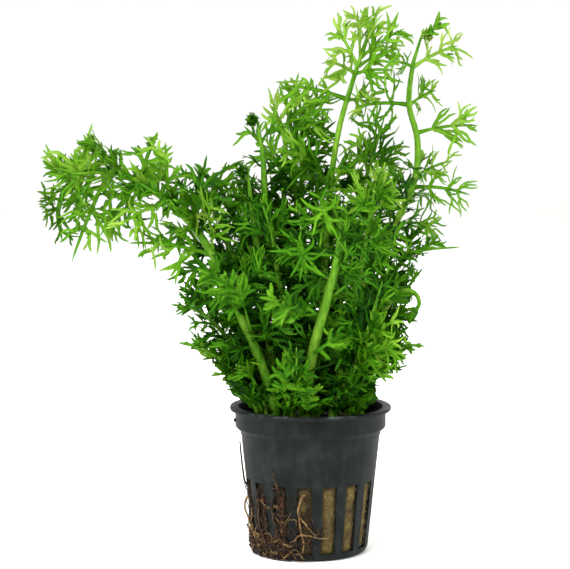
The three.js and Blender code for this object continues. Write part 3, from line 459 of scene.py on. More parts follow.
def mineral_wool(tree, place, *tones):
    """Mineral wool, spun from melted rock and stained by feed and algae: a matt mat of fibres."""
    fibres = clouds(tree, place, 0.5, 3, 0.7)
    shade = maths(tree, "MULTIPLY_ADD", fibres, 0.45, clouds(tree, place, 5, 4, 0.65))
    stained = maths(tree, "MULTIPLY_ADD", age_of(tree), 0.8, shade)
    colour = colours(tree, maths(tree, "SUBTRACT", stained, 0.4), *zip((0.46, 0.72, 0.95), tones))
    return skin(tree, colour, 0.92, 1.45, relief(tree, fibres, 0.7, 0.4))


def fern_root(tree, place, *tones):
    """Fern root, grown: a dull brown bark-like skin, wet in places, ringed by old growth."""
    streaks = clouds(tree, place, 1.6, 4, 0.6)
    colour = colours(tree, streaks, *zip((0.32, 0.5, 0.68), tones))
    return skin(tree, colour, 0.62, 1.5, relief(tree, streaks, 0.5, 0.15), 0.2)


def matt_board(tree, place, tone):
    """Card backdrop, rolled matt: even and pale, so that it shows nothing but soft shadow."""
    colour = colours(tree, clouds(tree, place, 1.5, 2), (0.3, tone), (0.7, tone))
    return skin(tree, colour, 0.95, 1.45)


# ---------------------------------------------------------------------------------------------
# Growing things

CREASE_DEG = 40
BOX_INSET = 0.02


class Tissue:
    """The points, faces and ages of one grown piece."""

    def __init__(self):
        self.points, self.ages = [], []
        self.faces, self.finishes = [], []
        self.finish = 0

    def put(self, at, age):
        self.points.append(at)
        self.ages.append(age)
        return len(self.points) - 1

    def face(self, *corners):
        self.faces.append(corners)
        self.finishes.append(self.finish)

    def wall(self, a, b):
        """The faces between two rings of points."""
        for i in range(len(a)):
            j = (i + 1) % len(a)
            self.face(a[i], a[j], b[j], b[i])

    def tube(self, rings, tip=None):
        """Closes rings of points into a skin, with a flat foot and a flat or pointed end."""
        self.face(*reversed(rings[0]))
        for a, b in zip(rings, rings[1:]):
            self.wall(a, b)
        last = rings[-1]
        if tip is None:
            self.face(*last)
            return
        for i in range(len(last)):
            self.face(last[i], last[(i + 1) % len(last)], tip)

    def piece(self, name, materials, slot, *stands_for):
        """Makes the mesh, kept inside the solids' box, and hands it to the frame."""
        low, high = Vector(cad_low), Vector(cad_high)
        inset = BOX_INSET * MM
        verts = [
            tuple(min(max(p[k] * MM, low[k] + inset), high[k] - inset) for k in range(3))
            for p in self.points
        ]
        mesh = bpy.data.meshes.new(name)
        mesh.from_pydata(verts, [], self.faces)
        mesh.attributes.new("age", "FLOAT", "POINT").data.foreach_set("value", self.ages)
        for material in materials:
            mesh.materials.append(material)
        mesh.polygons.foreach_set("material_index", self.finishes)
        mesh.shade_smooth()
        mesh.set_sharp_from_angle(angle=math.radians(CREASE_DEG))
        mesh.update()
        made = bpy.data.objects.new(name, mesh)
        bpy.context.collection.objects.link(made)
        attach(made, "root")
        if stands_for:
            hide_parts(*stands_for)
        return made


def round_ring(tissue, at, heading, side, radius, sides, age):
    """A ring of points about a heading, starting at side."""
    up = side.cross(heading)
    ids = []
    for i in range(sides):
        turn = 2 * math.pi * i / sides
        ids.append(tissue.put(at + (side * math.cos(turn) - up * math.sin(turn)) * radius, age))
    return ids


def bow(a, b, c, share):
    """The point at a share of the way along the bow from a to c that bends toward b."""
    rest = 1 - share
    return a * rest * rest + b * (2 * rest * share) + c * share * share


def bow_frame(a, b, c, share, top):
    """The bow's heading at a share of the way, and the way to its right."""
    heading = ((b - a) * (1 - share) + (c - b) * share).normalized()
    return heading, heading.cross(top).normalized()


# A strap's shape: the shares of its length where it is given a width, finest for a midrib.
STRAP_SHARES = (
    (0, 0.08, 0.2, 0.34, 0.5, 0.66, 0.8, 0.92), (0, 0.14, 0.32, 0.52, 0.72, 0.9),
    (0, 0.2, 0.42, 0.67, 0.89), (0, 0.3, 0.62, 0.87),
)
BLADE_THICK = 0.1
BLADE_FOLD = 0.28
WEB_ENDS = 0.22
END_NARROWING = 0.7
END_BLUNTNESS = 4.5
HOOK_DROPS = 0.6
MARGIN_DARKER = 0.1
MIDRIB_PALER = 0.1


def strap(tissue, bent, top, half, web, level, age, sway=0, hook=0):
    """One strap of leaf: a thin blade, a little folded along its middle, webbed at its foot and blunt
    at its end. It sways from side to side by a share of its length, and its end hooks by another."""
    a, b, c = bent
    length = (b - a).length + (c - b).length
    rings = []
    for share in STRAP_SHARES[level]:
        heading, right = bow_frame(a, b, c, share, top)
        face = right.cross(heading)
        foot = web * max(1 - share / WEB_ENDS, 0) ** 1.5
        wide = half * (1 - END_NARROWING * share ** END_BLUNTNESS) + foot
        at = bow(a, b, c, share) + right * (sway * length * math.sin(2 * math.pi * share))
        at += (right * hook - face * abs(hook) * HOOK_DROPS) * length * share ** 3
        edge = face * (BLADE_FOLD * wide)
        rings.append([
            tissue.put(at - right * wide + edge, age - MARGIN_DARKER),
            tissue.put(at + face * BLADE_THICK, age + MIDRIB_PALER),
            tissue.put(at + right * wide + edge, age - MARGIN_DARKER),
            tissue.put(at - face * BLADE_THICK, age),
        ])
    c = c + (right * hook - face * abs(hook) * HOOK_DROPS) * length
    tissue.tube(rings, tissue.put(c, age))


def turned_way(heading, side, top, lean, lift):
    return (heading * math.cos(lean) + side * math.sin(lean) + top * lift).normalized()


# How far the leaves reach to the left and right, by height, and how high they reach, by x.
SIDES = (
    (50, -26, 24), (56, -27, 22), (60, -29, 20), (64, -30, 28), (67, -34, 32), (71, -40, 35),
    (76, -38, 32), (81, -44, 33), (86, -46, 35), (92, -44, 33), (100, -62, 36), (104, -91, 43),
)
TOP = (
    (-91, 139), (-86, 136), (-80, 136), (-77, 140), (-74, 145), (-71, 140), (-68, 137), (-60, 138),
    (-55, 142), (-47, 142), (-45, 132), (-38, 133), (-35, 129), (-28, 131), (-24, 135), (-21, 150),
    (-13, 153), (-10, 161), (3, 161),
)
BOX_CLEAR = 0.4
SHORTEST = 0.2
RIM_LOW = 51.5
RIM_CLEAR = 62
RIM_WITHIN = 23
RIM_SPREADS = 1.2


def read_off(table, at):
    """The values of a table at a number in its first column, or None outside it."""
    for (start, *low), (end, *high) in zip(table, table[1:]):
        if start <= at < end:
            return [lerp(a, b, (at - start) / (end - start)) for a, b in zip(low, high)]
    return None


def drawn_back(foot, kept, limit, k, sign):
    """A strap's end drawn back toward its foot where it passes a limit along the axis k."""
    over = (kept[k] - limit) * sign
    run = (kept[k] - foot[k]) * sign
    if over <= 0 or run <= 0:
        return kept
    return foot + (kept - foot) * max(1 - over / run, SHORTEST)


def kept_in(foot, end):
    """The end of a strap drawn back toward its foot until it is inside the solids' box and the
    outline of the bush, and raised to a cone above the pot's lip, so that it doesn't hang over it."""
    share = 1
    for k in range(3):
        low, high = cad_low[k] / MM + BOX_CLEAR, cad_high[k] / MM - BOX_CLEAR
        run = end[k] - foot[k]
        if end[k] < low and run < 0:
            share = min(share, max((low - foot[k]) / run, SHORTEST))
        if end[k] > high and run > 0:
            share = min(share, max((high - foot[k]) / run, SHORTEST))
    kept = foot + (end - foot) * share
    radius = math.hypot(kept.x, kept.y)
    if kept.z < RIM_CLEAR and radius > RIM_WITHIN:
        kept.z = max(kept.z, min(RIM_LOW + (radius - RIM_WITHIN) / RIM_SPREADS, RIM_CLEAR))
    sides = read_off(SIDES, kept.z)
    if sides:
        kept = drawn_back(foot, kept, sides[0], 0, -1)
        kept = drawn_back(foot, kept, sides[1], 0, 1)
    top = read_off(TOP, kept.x)
    return drawn_back(foot, kept, top[0], 2, 1) if top else kept


# An antler: how it sways and hooks, where it forks by its length, and how far a finger turns away.
SWAY = 0.08
HOOK = 0.4
LEAST_MOVE = 0.01
FORKS = ((9, (0.2, 0.42)), (6.5, (0.24, 0.48)), (3.5, (0.34,)))
SECOND_FORK_FROM = 5
SECOND_FORK_CHANCE = 0.35
FORK_LEAN_DEG = (22, 48)
FOOT_BEFORE = 0.03


def antler(tissue, bent, top, half, level, age, luck):
    """A strap that forks into fingers, which spread and then turn along it, as an antler's do."""
    a, b, wished = bent
    c = kept_in(a, wished)
    b = b + (c - wished) * 0.6
    sway = luck.uniform(-SWAY, SWAY)
    hook = luck.uniform(-HOOK, HOOK) if level > 1 else 0
    hooked = c + (c - a) * abs(hook)
    if (kept_in(a, hooked) - hooked).length > LEAST_MOVE:
        hook = 0
    strap(tissue, (a, b, c), top, half, half * 0.9, level, age, sway, hook)
    length = (b - a).length + (c - b).length
    starts = ()
    if level == 1:
        starts = next((shares for longer, shares in FORKS if length > longer), ())
    elif level == 2 and length > SECOND_FORK_FROM and luck.random() < SECOND_FORK_CHANCE:
        starts = [luck.uniform(0.3, 0.45)]
    edge = luck.choice([-1, 1])
    for start in starts:
        share = start + luck.uniform(-0.06, 0.06)
        heading, right = bow_frame(a, b, c, share, top)
        lean = math.radians(luck.uniform(*FORK_LEAN_DEG))
        way = turned_way(heading, right * edge, top, lean, luck.uniform(-0.35, 0.4))
        grown = length * (1 - share) * luck.uniform(0.8, 1.3)
        foot = bow(a, b, c, share - FOOT_BEFORE)
        knee = foot + way * grown * 0.5
        onward = way * 0.3 + heading * luck.uniform(-0.5, 2.2) + top * luck.uniform(-0.9, 0.7)
        onward = onward.normalized()
        end = knee + onward * grown * 0.6 - UP * grown * luck.uniform(-0.05, 0.28)
        antler(tissue, (foot, knee, end), top, half * luck.uniform(0.8, 0.96), level + 1,
               age + luck.uniform(-0.06, 0.1), luck)
        edge = -edge


# A leaflet: where its straps stand by its length, how they lean, and how near two may stand.
STRAP_PLACES = ((18, (0.2, 0.42, 0.62, 0.8)), (12, (0.26, 0.52, 0.76)), (0, (0.34, 0.68)))
STRAP_LEAN_DEG = (26, 52)
STRAP_APART = 0.15
LEAST_STRAP = 5.5
TIP_PASSED = 1.5
BROAD_BELOW = 95
# The half widths of a midrib and of a strap: the least, what each millimetre adds, and the most.
RIB_HALF = (0.42, 0.008, 0.7)
STRAP_HALF = (0.4, 0.018, 0.6)
RIB_WEB = 0.3
RIB_OLDER = 0.06


def half_width(row, length):
    least, grows, most = row
    return min(least + grows * length, most)


def leaflet(tissue, root, tip, top, age, luck, ends=(), broad=1):
    """A leaflet: a midrib with forking straps on both sides, one of them to each lobe of the solid."""
    length = (tip - root).length
    bend = root.lerp(tip, 0.5) + UP * (ARCH * length)
    low = clamp((BROAD_BELOW - tip.z) / 25, 0, 1)
    wide = broad * luck.uniform(0.85, 1.15) + 0.3 * low * luck.random()
    rib = half_width(RIB_HALF, length) * luck.uniform(0.9, 1.1)
    strap(tissue, (root, bend, tip), top, rib, RIB_WEB, 0, age - RIB_OLDER)
    ends = list(ends)
    for share in next(shares for longer, shares in STRAP_PLACES if length > longer):
        for side in (-1, 1):
            if any(one[0] == side and abs(one[1] - share) < STRAP_APART for one in ends):
                continue
            place = share + luck.uniform(-0.08, 0.08)
            heading, right = bow_frame(root, bend, tip, place, top)
            lean = math.radians(luck.uniform(*STRAP_LEAN_DEG))
            way = turned_way(heading, right * side, top, lean, luck.uniform(-0.45, 0.5))
            reach = max(length * (0.52 - 0.22 * abs(place - 0.35)), LEAST_STRAP)
            reach = reach * luck.uniform(0.75, 1.25)
            reach = min(reach, (length * (1 - place) + TIP_PASSED) / math.cos(lean))
            ends.append((side, place, bow(root, bend, tip, place) + way * reach))
    for side, place, end in ends:
        foot = bow(root, bend, tip, place - FOOT_BEFORE)
        heading, right = bow_frame(root, bend, tip, place, top)
        reach = (end - foot).length
        out = (end - foot).normalized()
        bowed = out + right * (side * luck.uniform(-0.3, 0.9)) + top * luck.uniform(-0.5, 0.9)
        knee = foot + bowed.normalized() * reach * 0.5
        plane = top + right * luck.uniform(-0.3, 0.3) + heading * luck.uniform(-0.25, 0.25)
        half = half_width(STRAP_HALF, reach) * wide
        own_age = age + 0.2 * (place - 0.5) + luck.uniform(-0.08, 0.1)
        antler(tissue, (foot, knee, end), plane.normalized(), half, 1, own_age, luck)


def solid_lobes(root, bend, tip, length, top, seed):
    """The lobe tips of the solid's leaflet, as (side, share of the midrib, tip)."""
    stations = next(shares for longer, shares in STATIONS if length > longer)
    rings = []
    for share in stations:
        heading, right = bow_frame(root, bend, tip, share, top)
        half = PINNA_HALF * (1 + PINNA_NARROWING * (0.5 - share))
        rings.append((bow(root, bend, tip, share), right, right.cross(heading), half))
    lobes = []
    for k in range(1, len(rings)):
        at, right, up, half = rings[k - 1]
        then, _, _, narrower = rings[k]
        for edge in (-1, 1):
            own = seed + 7 * k + edge
            heading = (then - at).normalized()
            start = at.lerp(then, 0.5) + right * (edge * (half + narrower) / 2)
            spread = math.radians(LOBE_SPREAD_DEG + LOBE_SPREAD_VARIES_DEG * (chance(own) - 0.5))
            varied = 1 + LOBE_REACH_VARIES * (chance(own + 0.5) - 0.5)
            reach = length * LOBE_REACH * (1 - LOBE_SHORTENS * (k - 1)) * varied
            lift = LOBE_LIFT * (chance(own + 0.25) - 0.5)
            way = turned_way(heading, right * edge, up, spread, lift)
            lobes.append((edge, (stations[k - 1] + stations[k]) / 2, start + way * reach))
    return lobes


def across(frond, heading):
    """The way across a stem, square to its heading and to the way its blade faces."""
    return heading.cross(Vector(frond["faces"])).normalized()


def leaflets_of(frond, course):
    """The solid's leaflets as (place, tip, edge)."""
    if frond["leaflets"]:
        return [(place, Vector(tip), edge) for place, *pair in frond["leaflets"]
                for edge, tip in zip((-1, 1), pair) if tip]
    pairs, first, last, longest, shortest, fold_deg, droop = frond["rule"]
    wanted = []
    for i in range(pairs):
        share = i / (pairs - 1)
        place = lerp(first, last, share)
        for edge in (-1, 1):
            heading = course.heading(place)
            side = across(frond, heading)
            top = side.cross(heading)
            lean = math.radians(lerp(LEAN_LOW_DEG, LEAN_HIGH_DEG, share))
            fold = math.radians(fold_deg)
            varied = 1 + LENGTH_VARIES * (chance(5 * place + edge) - 0.5)
            length = lerp(longest, shortest, share) * varied
            way = (
                heading * math.cos(lean)
                + side * (edge * math.sin(lean) * math.cos(fold))
                + top * (math.sin(lean) * math.sin(fold))
                - UP * droop
            )
            wanted.append((place, course.at(place) + way.normalized() * length, edge))
    return wanted


def stem_half(frond, course, place):
    return frond["thick"] * (1 - STEM_TAPER * max(place - 1, 0) / course.last)


def stem_stops(frond, course, places):
    """The places where the solid's stem has its rings: a pair about each leaflet, and some between."""
    stops = [0, 1]
    for place in places:
        step = PAIR_HALF / course.pace(place)
        stops += [place - step, place + step]
    for between in range(2, course.last + 1):
        crowded = any(abs(stop - between) < RING_CLEAR for stop in stops)
        if not crowded and (frond["curl"] or between < max(places) + 0.5):
            stops.append(between)
    return sorted(stops)


def finder_of(points):
    """A finder for the nearest of some points."""
    finder = kdtree.KDTree(len(points))
    for i, point in enumerate(points):
        finder.insert(point, i)
    finder.balance()
    return finder


def solid_points(frond):
    """The points of a frond's solid, in millimetres."""
    return [vertex.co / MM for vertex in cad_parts[frond["name"]].data.vertices]


def fitted_tip(finder, root, tip, axis):
    """Where the solid's leaflet ends: its tip as wished, or turned about the stem, or shorter."""
    for shrink in SHRINKS:
        for turn in TURNS_DEG:
            reach = (Quaternion(axis, math.radians(turn)) @ (tip - root)) * shrink
            if finder.find(root + reach)[2] < TIP_FOUND:
                return root + reach
    return None


def grow_frond(number, frond):
    """One frond: a round tapered stem, the solid's leaflets branched out, and smaller ones between."""
    luck = random.Random(frond["name"])
    course = Course(frond["course"])
    wanted = leaflets_of(frond, course)
    stops = stem_stops(frond, course, sorted({place for place, _, _ in wanted}))
    finder = finder_of(solid_points(frond))
    tissue = Tissue()
    grow_stem(tissue, frond, course, luck)
    tissue.finish = 1
    grown = []
    for i, (place, wish, edge) in enumerate(wanted):
        before = max(k for k, stop in enumerate(stops) if stop <= place)
        (at, right, half), (then, _, narrower) = [
            (course.at(stop), across(frond, course.heading(stop)), stem_half(frond, course, stop))
            for stop in stops[before:before + 2]]
        root = at.lerp(then, 0.5) + right * (edge * (half + narrower) / 2)
        axis = (then - at).normalized()
        tip = fitted_tip(finder, root, wish, axis)
        if tip is None:
            continue
        length = (tip - root).length
        bend = root.lerp(tip, 0.5) + UP * (ARCH * length)
        top = (axis * -edge).cross((bend - root).normalized()).normalized()
        lobes = solid_lobes(root, bend, tip, length, top, 100 * number + 9 * i)
        inside = root - right * (edge * half * 0.6)
        own_age = leaf_age_with_painted_shade_and_light(frond["name"], tip, luck)
        leaflet(tissue, inside, tip, top, own_age, luck, lobes, frond["broad"])
        grown.append((place, length))
    fill_between(tissue, frond, course, grown, luck)
    fill_inside(tissue, frond, course, luck)
    show_sprigs(tissue, frond, course, luck)
    show_fans(tissue, frond, course, luck)
    skirt(tissue, frond, course, luck)
    tissue.piece(frond["name"] + "_leafage", [stem_green, leaf_green], "leaf", frond["name"])


def tuck_in(tissue, frond, at, reach, facing, tone_shift, broad, luck):
    """A leaflet that the solid doesn't have, drawn back into the bush. It is left out where it would
    stand in front of a bare stem."""
    tip = kept_in(at, at + reach)
    if not hides_stem(at, tip):
        top = facing(tip)
        # tone_shift paints the leaflet lighter above nought and darker below it.
        own_age = leaf_age_with_painted_shade_and_light(frond["name"], tip, luck) + tone_shift
        leaflet(tissue, at, tip, top, own_age, luck, (), broad)


FILL_TURNS_DEG = (60, 125, 92, 240, 305, 75)
FILL_LEAN_DEG = (40, 68)
FILL_SHARE = (0.45, 0.75)
LEAST_FILL = 7


def fill_between(tissue, frond, course, grown, luck):
    """Smaller leaflets between the solid's ones, most of them on the blade's upper side."""
    places = sorted({place for place, _ in grown})
    if not places:
        return
    gaps = [(a + b) / 2 for a, b in zip(places, places[1:])]
    gaps = [max(places[0] - 0.4, 1.2)] + gaps + [min(places[-1] + 0.3, course.last)]
    for place in gaps:
        near = min(grown, key=lambda one: abs(one[0] - place))[1]
        heading = course.heading(place)
        side = across(frond, heading)
        face = side.cross(heading)
        wanted = round(frond["fill"] * (1 - 0.75 * (place / course.last) ** 2.5))
        for turn in FILL_TURNS_DEG[:wanted]:
            spot = place + luck.uniform(-0.12, 0.12)
            at = course.at(spot)
            angle = math.radians(turn + luck.uniform(-22, 22))
            out = side * math.cos(angle) + face * math.sin(angle)
            lean = math.radians(luck.uniform(*FILL_LEAN_DEG))
            way = heading * math.cos(lean) + out * math.sin(lean)
            length = max(near * luck.uniform(*FILL_SHARE), LEAST_FILL)

            def facing(tip):
                spin = (at.lerp(tip, 0.5) + UP * (ARCH * length) - at).normalized()
                top = (face + UP * 0.4 + out.cross(heading) * luck.uniform(-0.4, 0.4))
                return (top - spin * top.dot(spin)).normalized()

            tuck_in(tissue, frond, at, way * length, facing, -0.05, frond["broad"], luck)


INNER_FROM = 1.05
INNER_STEP = 0.24
INNER_HIGHEST = 130
INNER_BROAD = 1.2
INNER_LONG = (8, 13)


def fill_inside(tissue, frond, course, luck):
    """Short leaflets all round the lower stem, painted darker as painted shade, which make the middle of
    the bush dense.
    """
    place = INNER_FROM
    while place < 0.75 * course.last and course.at(place).z < INNER_HIGHEST:
        first = luck.uniform(0, 360)
        for k in range(frond["inner"]):
            at = course.at(place + luck.uniform(-0.1, 0.1))
            heading = course.heading(place)
            side = across(frond, heading)
            angle = math.radians(first + 360 * k / 2 + luck.uniform(-35, 35))
            out = side * math.cos(angle) + side.cross(heading) * math.sin(angle)
            way = (heading * luck.uniform(0.1, 0.8) + out).normalized()

            def facing(_):
                top = UP * 0.7 - heading * 0.3 + out.cross(heading) * luck.uniform(-0.6, 0.6)
                return top.normalized()

            reach = way * luck.uniform(*INNER_LONG)
            # These leaflets are painted 0.1 darker, as painted shade inside the bush.
            tuck_in(tissue, frond, at, reach, facing, -0.1, INNER_BROAD, luck)
        place += INNER_STEP


SKIRT_PLACES = (0.8, 0.95, 1.15)
SKIRT_BROAD = 1.3
SKIRT_LONG = (7, 10.5)


def skirt(tissue, frond, course, luck):
    """Small leaflets low on a stem, which hide its foot."""
    for place in SKIRT_PLACES:
        at = course.at(place)
        out = Vector((at.x, at.y, 0)).normalized()
        out = (out + out.cross(UP) * luck.uniform(-1.2, 1.2)).normalized()
        way = (out * luck.uniform(0.5, 0.9) + UP * luck.uniform(0.25, 0.8)).normalized()

        def facing(_):
            return (UP - out * 0.5 + out.cross(UP) * luck.uniform(-0.4, 0.4)).normalized()

        reach = way * luck.uniform(*SKIRT_LONG)
        tuck_in(tissue, frond, at, reach, facing, 0.08, SKIRT_BROAD, luck)


STALK_HALF = 0.5
STALK_WEB = 0.2


def show_sprigs(tissue, frond, course, luck):
    """The leaflets that are seen one by one at the front. Each has a stalk from the stem to its joint,
    a midrib from there to the first tip, and straps to the other tips."""
    for place, joint, tips, broad, age in frond["sprigs"]:
        at, joint, first = course.at(place), Vector(joint), Vector(tips[0])
        face = Vector((luck.uniform(-0.2, 0.2), -1, luck.uniform(0.1, 0.5))).normalized()
        strap(tissue, (at, at.lerp(joint, 0.5) + face * 0.8, joint), face, STALK_HALF, STALK_WEB, 1, age)
        along = first - joint
        right = along.cross(face).normalized()
        ends = []
        for tip in tips[1:]:
            reach = Vector(tip) - joint
            share = clamp(reach.dot(along) / along.length_squared - 0.35, 0.1, 0.7)
            ends.append((1 if reach.dot(right) > 0 else -1, share, Vector(tip)))
        leaflet(tissue, joint, first, face, age, luck, ends, broad)


def show_fans(tissue, frond, course, luck):
    """Leaflets whose straps all spread from one joint and curl back, as the youngest ones do."""
    for place, joint, tips, broad, age in frond["fans"]:
        at, joint = course.at(place), Vector(joint)
        face = Vector((0, -1, 0.3)).normalized()
        strap(tissue, (at, at.lerp(joint, 0.5) + face, joint), face, STALK_HALF, STALK_WEB, 1, age)
        for tip in tips:
            end = kept_in(joint, Vector(tip))
            bowed = (end - joint).cross(face) * luck.choice([-0.3, 0.3])
            knee = joint.lerp(end, 0.5) + face * luck.uniform(0, 0.9) + bowed
            own_age = age + luck.uniform(-0.08, 0.1)
            antler(tissue, (joint, knee, end), face, STALK_HALF * broad, 2, own_age, luck)


# The stems that are seen bare, and between which heights.
BARE_STEMS = {
    "frond_front_middle": (57, 93), "frond_arching_left": (52, 82), "frond_right_curled": (84, 100),
}
BARE_HALF = 2.8
BARE_STEPS = 60


def bare_points():
    """Points up the front stems, between the heights where they are seen bare."""
    points = []
    for frond in FRONDS:
        if frond["name"] in BARE_STEMS:
            low, high = BARE_STEMS[frond["name"]]
            course = Course(frond["course"])
            stem = [course.at(course.last * k / BARE_STEPS) for k in range(BARE_STEPS + 1)]
            points += [point for point in stem if low < point.z < high]
    return points


def hides_stem(at, tip):
    """Whether a leaflet would stand in front of a bare stem."""
    for share in (0.35, 0.7, 1):
        spot = at.lerp(tip, share)
        for point in bare_of:
            if spot.y < point.y and math.hypot(spot.x - point.x, spot.z - point.z) < BARE_HALF:
                return True
    return False


# How near other fronds' points crowd a leaflet, and how many of them give it full painted shade.
CROWD_NEAR = 20
CROWD_FULL = 620
# A free leaflet's age; painted shade among other fronds, less of it high up; high ones younger and
# painted lighter, low ones painted lighter.
FREE_AGE = 0.41
CROWD_PAINTED_SHADE = 0.32
HIGH_EASES_PAINTED_SHADE = 0.16
HIGH_YOUNGER_AND_PAINTED_LIGHTER = 0.22
LOW_PAINTED_LIGHTER = 0.11
AGE_VARIES = 0.1
# Whole fronds shifted: above nought, painted light against the shade that falls on them; below nought,
# darker.
FROND_TONE_SHIFTS = {
    "frond_arching_left": -0.05, "frond_front_middle": -0.08, "frond_upper_middle": 0.03,
    "frond_left_middle": 0.1, "frond_left_low": 0.1, "frond_upper_right": 0.09,
    "frond_back_right": 0.08, "frond_right_low": 0.1, "frond_right_curled": 0.08,
    "frond_middle_right": 0.06, "frond_rim_right": 0.06,
}


def leaf_age_with_painted_shade_and_light(name, tip, luck):
    """How young and bright a leaflet is: painted shade darkens one among other fronds, painted light
    brightens high and low ones.
    """
    near = crowd.find_range(tip, CROWD_NEAR)
    crowded = min(sum(owners[i] != name for _, i, _ in near) / CROWD_FULL, 1)
    high = max((tip.z - 70) / 110, 0)
    low = clamp((88 - tip.z) / 20, 0, 1)
    age = FREE_AGE - (CROWD_PAINTED_SHADE - HIGH_EASES_PAINTED_SHADE * min(high, 1)) * crowded
    age = age + HIGH_YOUNGER_AND_PAINTED_LIGHTER * high ** 1.6 + LOW_PAINTED_LIGHTER * low + FROND_TONE_SHIFTS.get(name, 0)
    return clamp(age + luck.uniform(-AGE_VARIES, AGE_VARIES), 0.02, 0.95)


STEM_SIDES = 10
STEM_STEPS = 5
STEM_TIP_AGE = 0.9
LEAST_END = 4
CURL_HALF = 0.42
COIL_STEPS = 26
COIL_LONGER = 1.25
COIL_TIGHTENS = 0.8
BUD_EDGES = (-1, -0.6, -0.2, 0.2, 0.6, 1)


def grow_stem(tissue, frond, course, luck):
    """The stem, and the leaflet or the rolled bud that it ends in."""
    points = [tuple(p) for p in course.points]
    way = Course(points + [frond["tip"]]) if frond["tip"] else course
    rings = []
    steps = way.last * STEM_STEPS
    for k in range(steps):
        place = way.last * k / steps
        heading = way.heading(place)
        half = stem_half(frond, course, min(place, course.last)) * frond["stout"]
        if place > course.last:
            half = lerp(half, 0.2, place - course.last)
        if frond["curl"]:
            half = lerp(half, CURL_HALF, max(place / course.last - 0.7, 0) / 0.3)
        age = frond["stem_age"] - 0.3 * abs(place / way.last - 0.3) - 0.5 * max(0.6 - place, 0)
        side = across(frond, heading)
        rings.append(round_ring(tissue, way.at(place), heading, side, half, STEM_SIDES, age))
    if frond["curl"]:
        roll_bud(tissue, frond, course, rings, luck)
        return
    tip = way.at(way.last)
    tissue.tube(rings, tissue.put(tip, STEM_TIP_AGE))
    tissue.finish = 1
    heading = way.heading(course.last)
    face = across(frond, heading).cross(heading)
    root = course.at(course.last)
    if (tip - root).length > LEAST_END and not frond["bare_tip"]:
        leaflet(tissue, root, tip, face, leaf_age_with_painted_shade_and_light(frond["name"], tip, luck), luck)


def roll_bud(tissue, frond, course, rings, luck):
    """The rolled end of a young stem, with the small lobes that it still holds in."""
    curl_radius, toward, turn_deg = frond["curl"]
    end, heading = course.at(course.last), course.heading(course.last)
    toward = Vector(toward)
    inward = (toward - heading * toward.dot(heading)).normalized()
    centre = end + inward * curl_radius
    side = inward.cross(heading).normalized()
    grown = frond["bud"]
    for k in range(1, COIL_STEPS):
        share = k / COIL_STEPS
        angle = math.radians(turn_deg * COIL_LONGER * share)
        radius = curl_radius * (1 - COIL_TIGHTENS * share)
        out = -inward * math.cos(angle) + heading * math.sin(angle)
        along = inward * math.sin(angle) + heading * math.cos(angle)
        at = centre + out * radius
        half = lerp(0.55, 0.35, share)
        rings.append(round_ring(tissue, at, along, side, half, STEM_SIDES, frond["bud_age"]))
        tissue.finish = 1
        for edge in BUD_EDGES:
            foot = at + side * (edge * half * 0.6) - out * 0.2
            lobe = foot + side * (edge * grown * luck.uniform(0.7, 1.7))
            lobe = lobe + out * grown * luck.uniform(-0.9, 1.2)
            lobe += along * grown * luck.uniform(-0.6, 1.2)
            knee = foot.lerp(lobe, 0.5) + out * 0.4
            strap(tissue, (foot, knee, lobe), along, luck.uniform(0.35, 0.6), 0.1, 2,
                  frond["bud_age"] + luck.uniform(-0.07, 0.35))
        tissue.finish = 0
    tissue.tube(rings)


# ---------------------------------------------------------------------------------------------
# The pot, the wool and the roots

def body_radius(z):
    return lerp(BODY_FOOT_RADIUS, BODY_TOP_RADIUS, z / BODY_TOP)


def outward(deg):
    return Vector((math.sin(math.radians(deg)), -math.cos(math.radians(deg)), 0))


SLOT_PARTS = 4
BAR_PARTS = 4
SLOT_PERIOD = SLOT_PARTS + BAR_PARTS
MOULD_LINE = 40.4
MOULD_STEP = 0.16
FLOOR_WITHIN = 16
NEAR = 0.01
EVEN_AGE = 0.5
EASED_WIDTH = 0.14
EASED_FROM_DEG = 55
NUB_DEG = -84
NUB_HEIGHT = 45.2
NUB_RADIUS = 0.75
NUB_SIDES = 10


def column_angles(radius):
    """The angles of the pot's columns of points at a radius. Slots are as wide at the foot as above."""
    half = math.degrees(math.asin(SLOT_WIDTH / 2 / max(radius, SLOT_WIDTH)))
    angles = []
    for slot in range(SLOT_COUNT):
        middle = SLOT_FIRST_DEG + slot * SLOT_PITCH_DEG
        angles += [middle + lerp(-half, half, part / SLOT_PARTS) for part in range(SLOT_PARTS)]
        bar = SLOT_PITCH_DEG - half
        angles += [middle + lerp(half, bar, part / BAR_PARTS) for part in range(BAR_PARTS)]
    return angles


def pot_profile():
    """The pot's section from the middle of its underside, out and up, over the lip and down inside."""
    corner = body_radius(BASE_ROUND) - BASE_ROUND
    section = [(7, 0), (13, 0)]
    for k in range(6):
        turn = math.radians(90 * k / 5)
        section.append((corner + BASE_ROUND * math.sin(turn), BASE_ROUND - BASE_ROUND * math.cos(turn)))
    outer = (SLOT_FOOT, 6, 10, 15, 20, SLOT_TOP, 30, 35, MOULD_LINE - 0.3)
    section += [(body_radius(z), z) for z in outer]
    section += [
        (body_radius(MOULD_LINE) + MOULD_STEP, MOULD_LINE),
        (body_radius(BODY_TOP) + MOULD_STEP, BODY_TOP - 0.2),
        (24.2, 41.75), (25.3, 42.65), (25.62, 43.0), (COLLAR_RADIUS, 43.4), (COLLAR_RADIUS, 46),
        (COLLAR_RADIUS, 48.2), (25.85, 48.5), (26.1, 48.6), (27.0, 48.62), (27.36, 48.75),
        (LIP_RADIUS, 49.1), (LIP_RADIUS, 49.5), (27.36, 49.85), (27.0, POT_HEIGHT), (25.0, POT_HEIGHT),
        (24.66, 49.86), (24.5, 49.5), (24.5, 46), (24.5, COLLAR_FOOT),
    ]
    inner = (BODY_TOP, 35, 30, SLOT_TOP, 20, 15, 10, 6, SLOT_FOOT, 1.7)
    section += [(body_radius(z) - WALL, z) for z in inner]
    return section + [(17.6, WALL), (12, WALL), (6, WALL)]


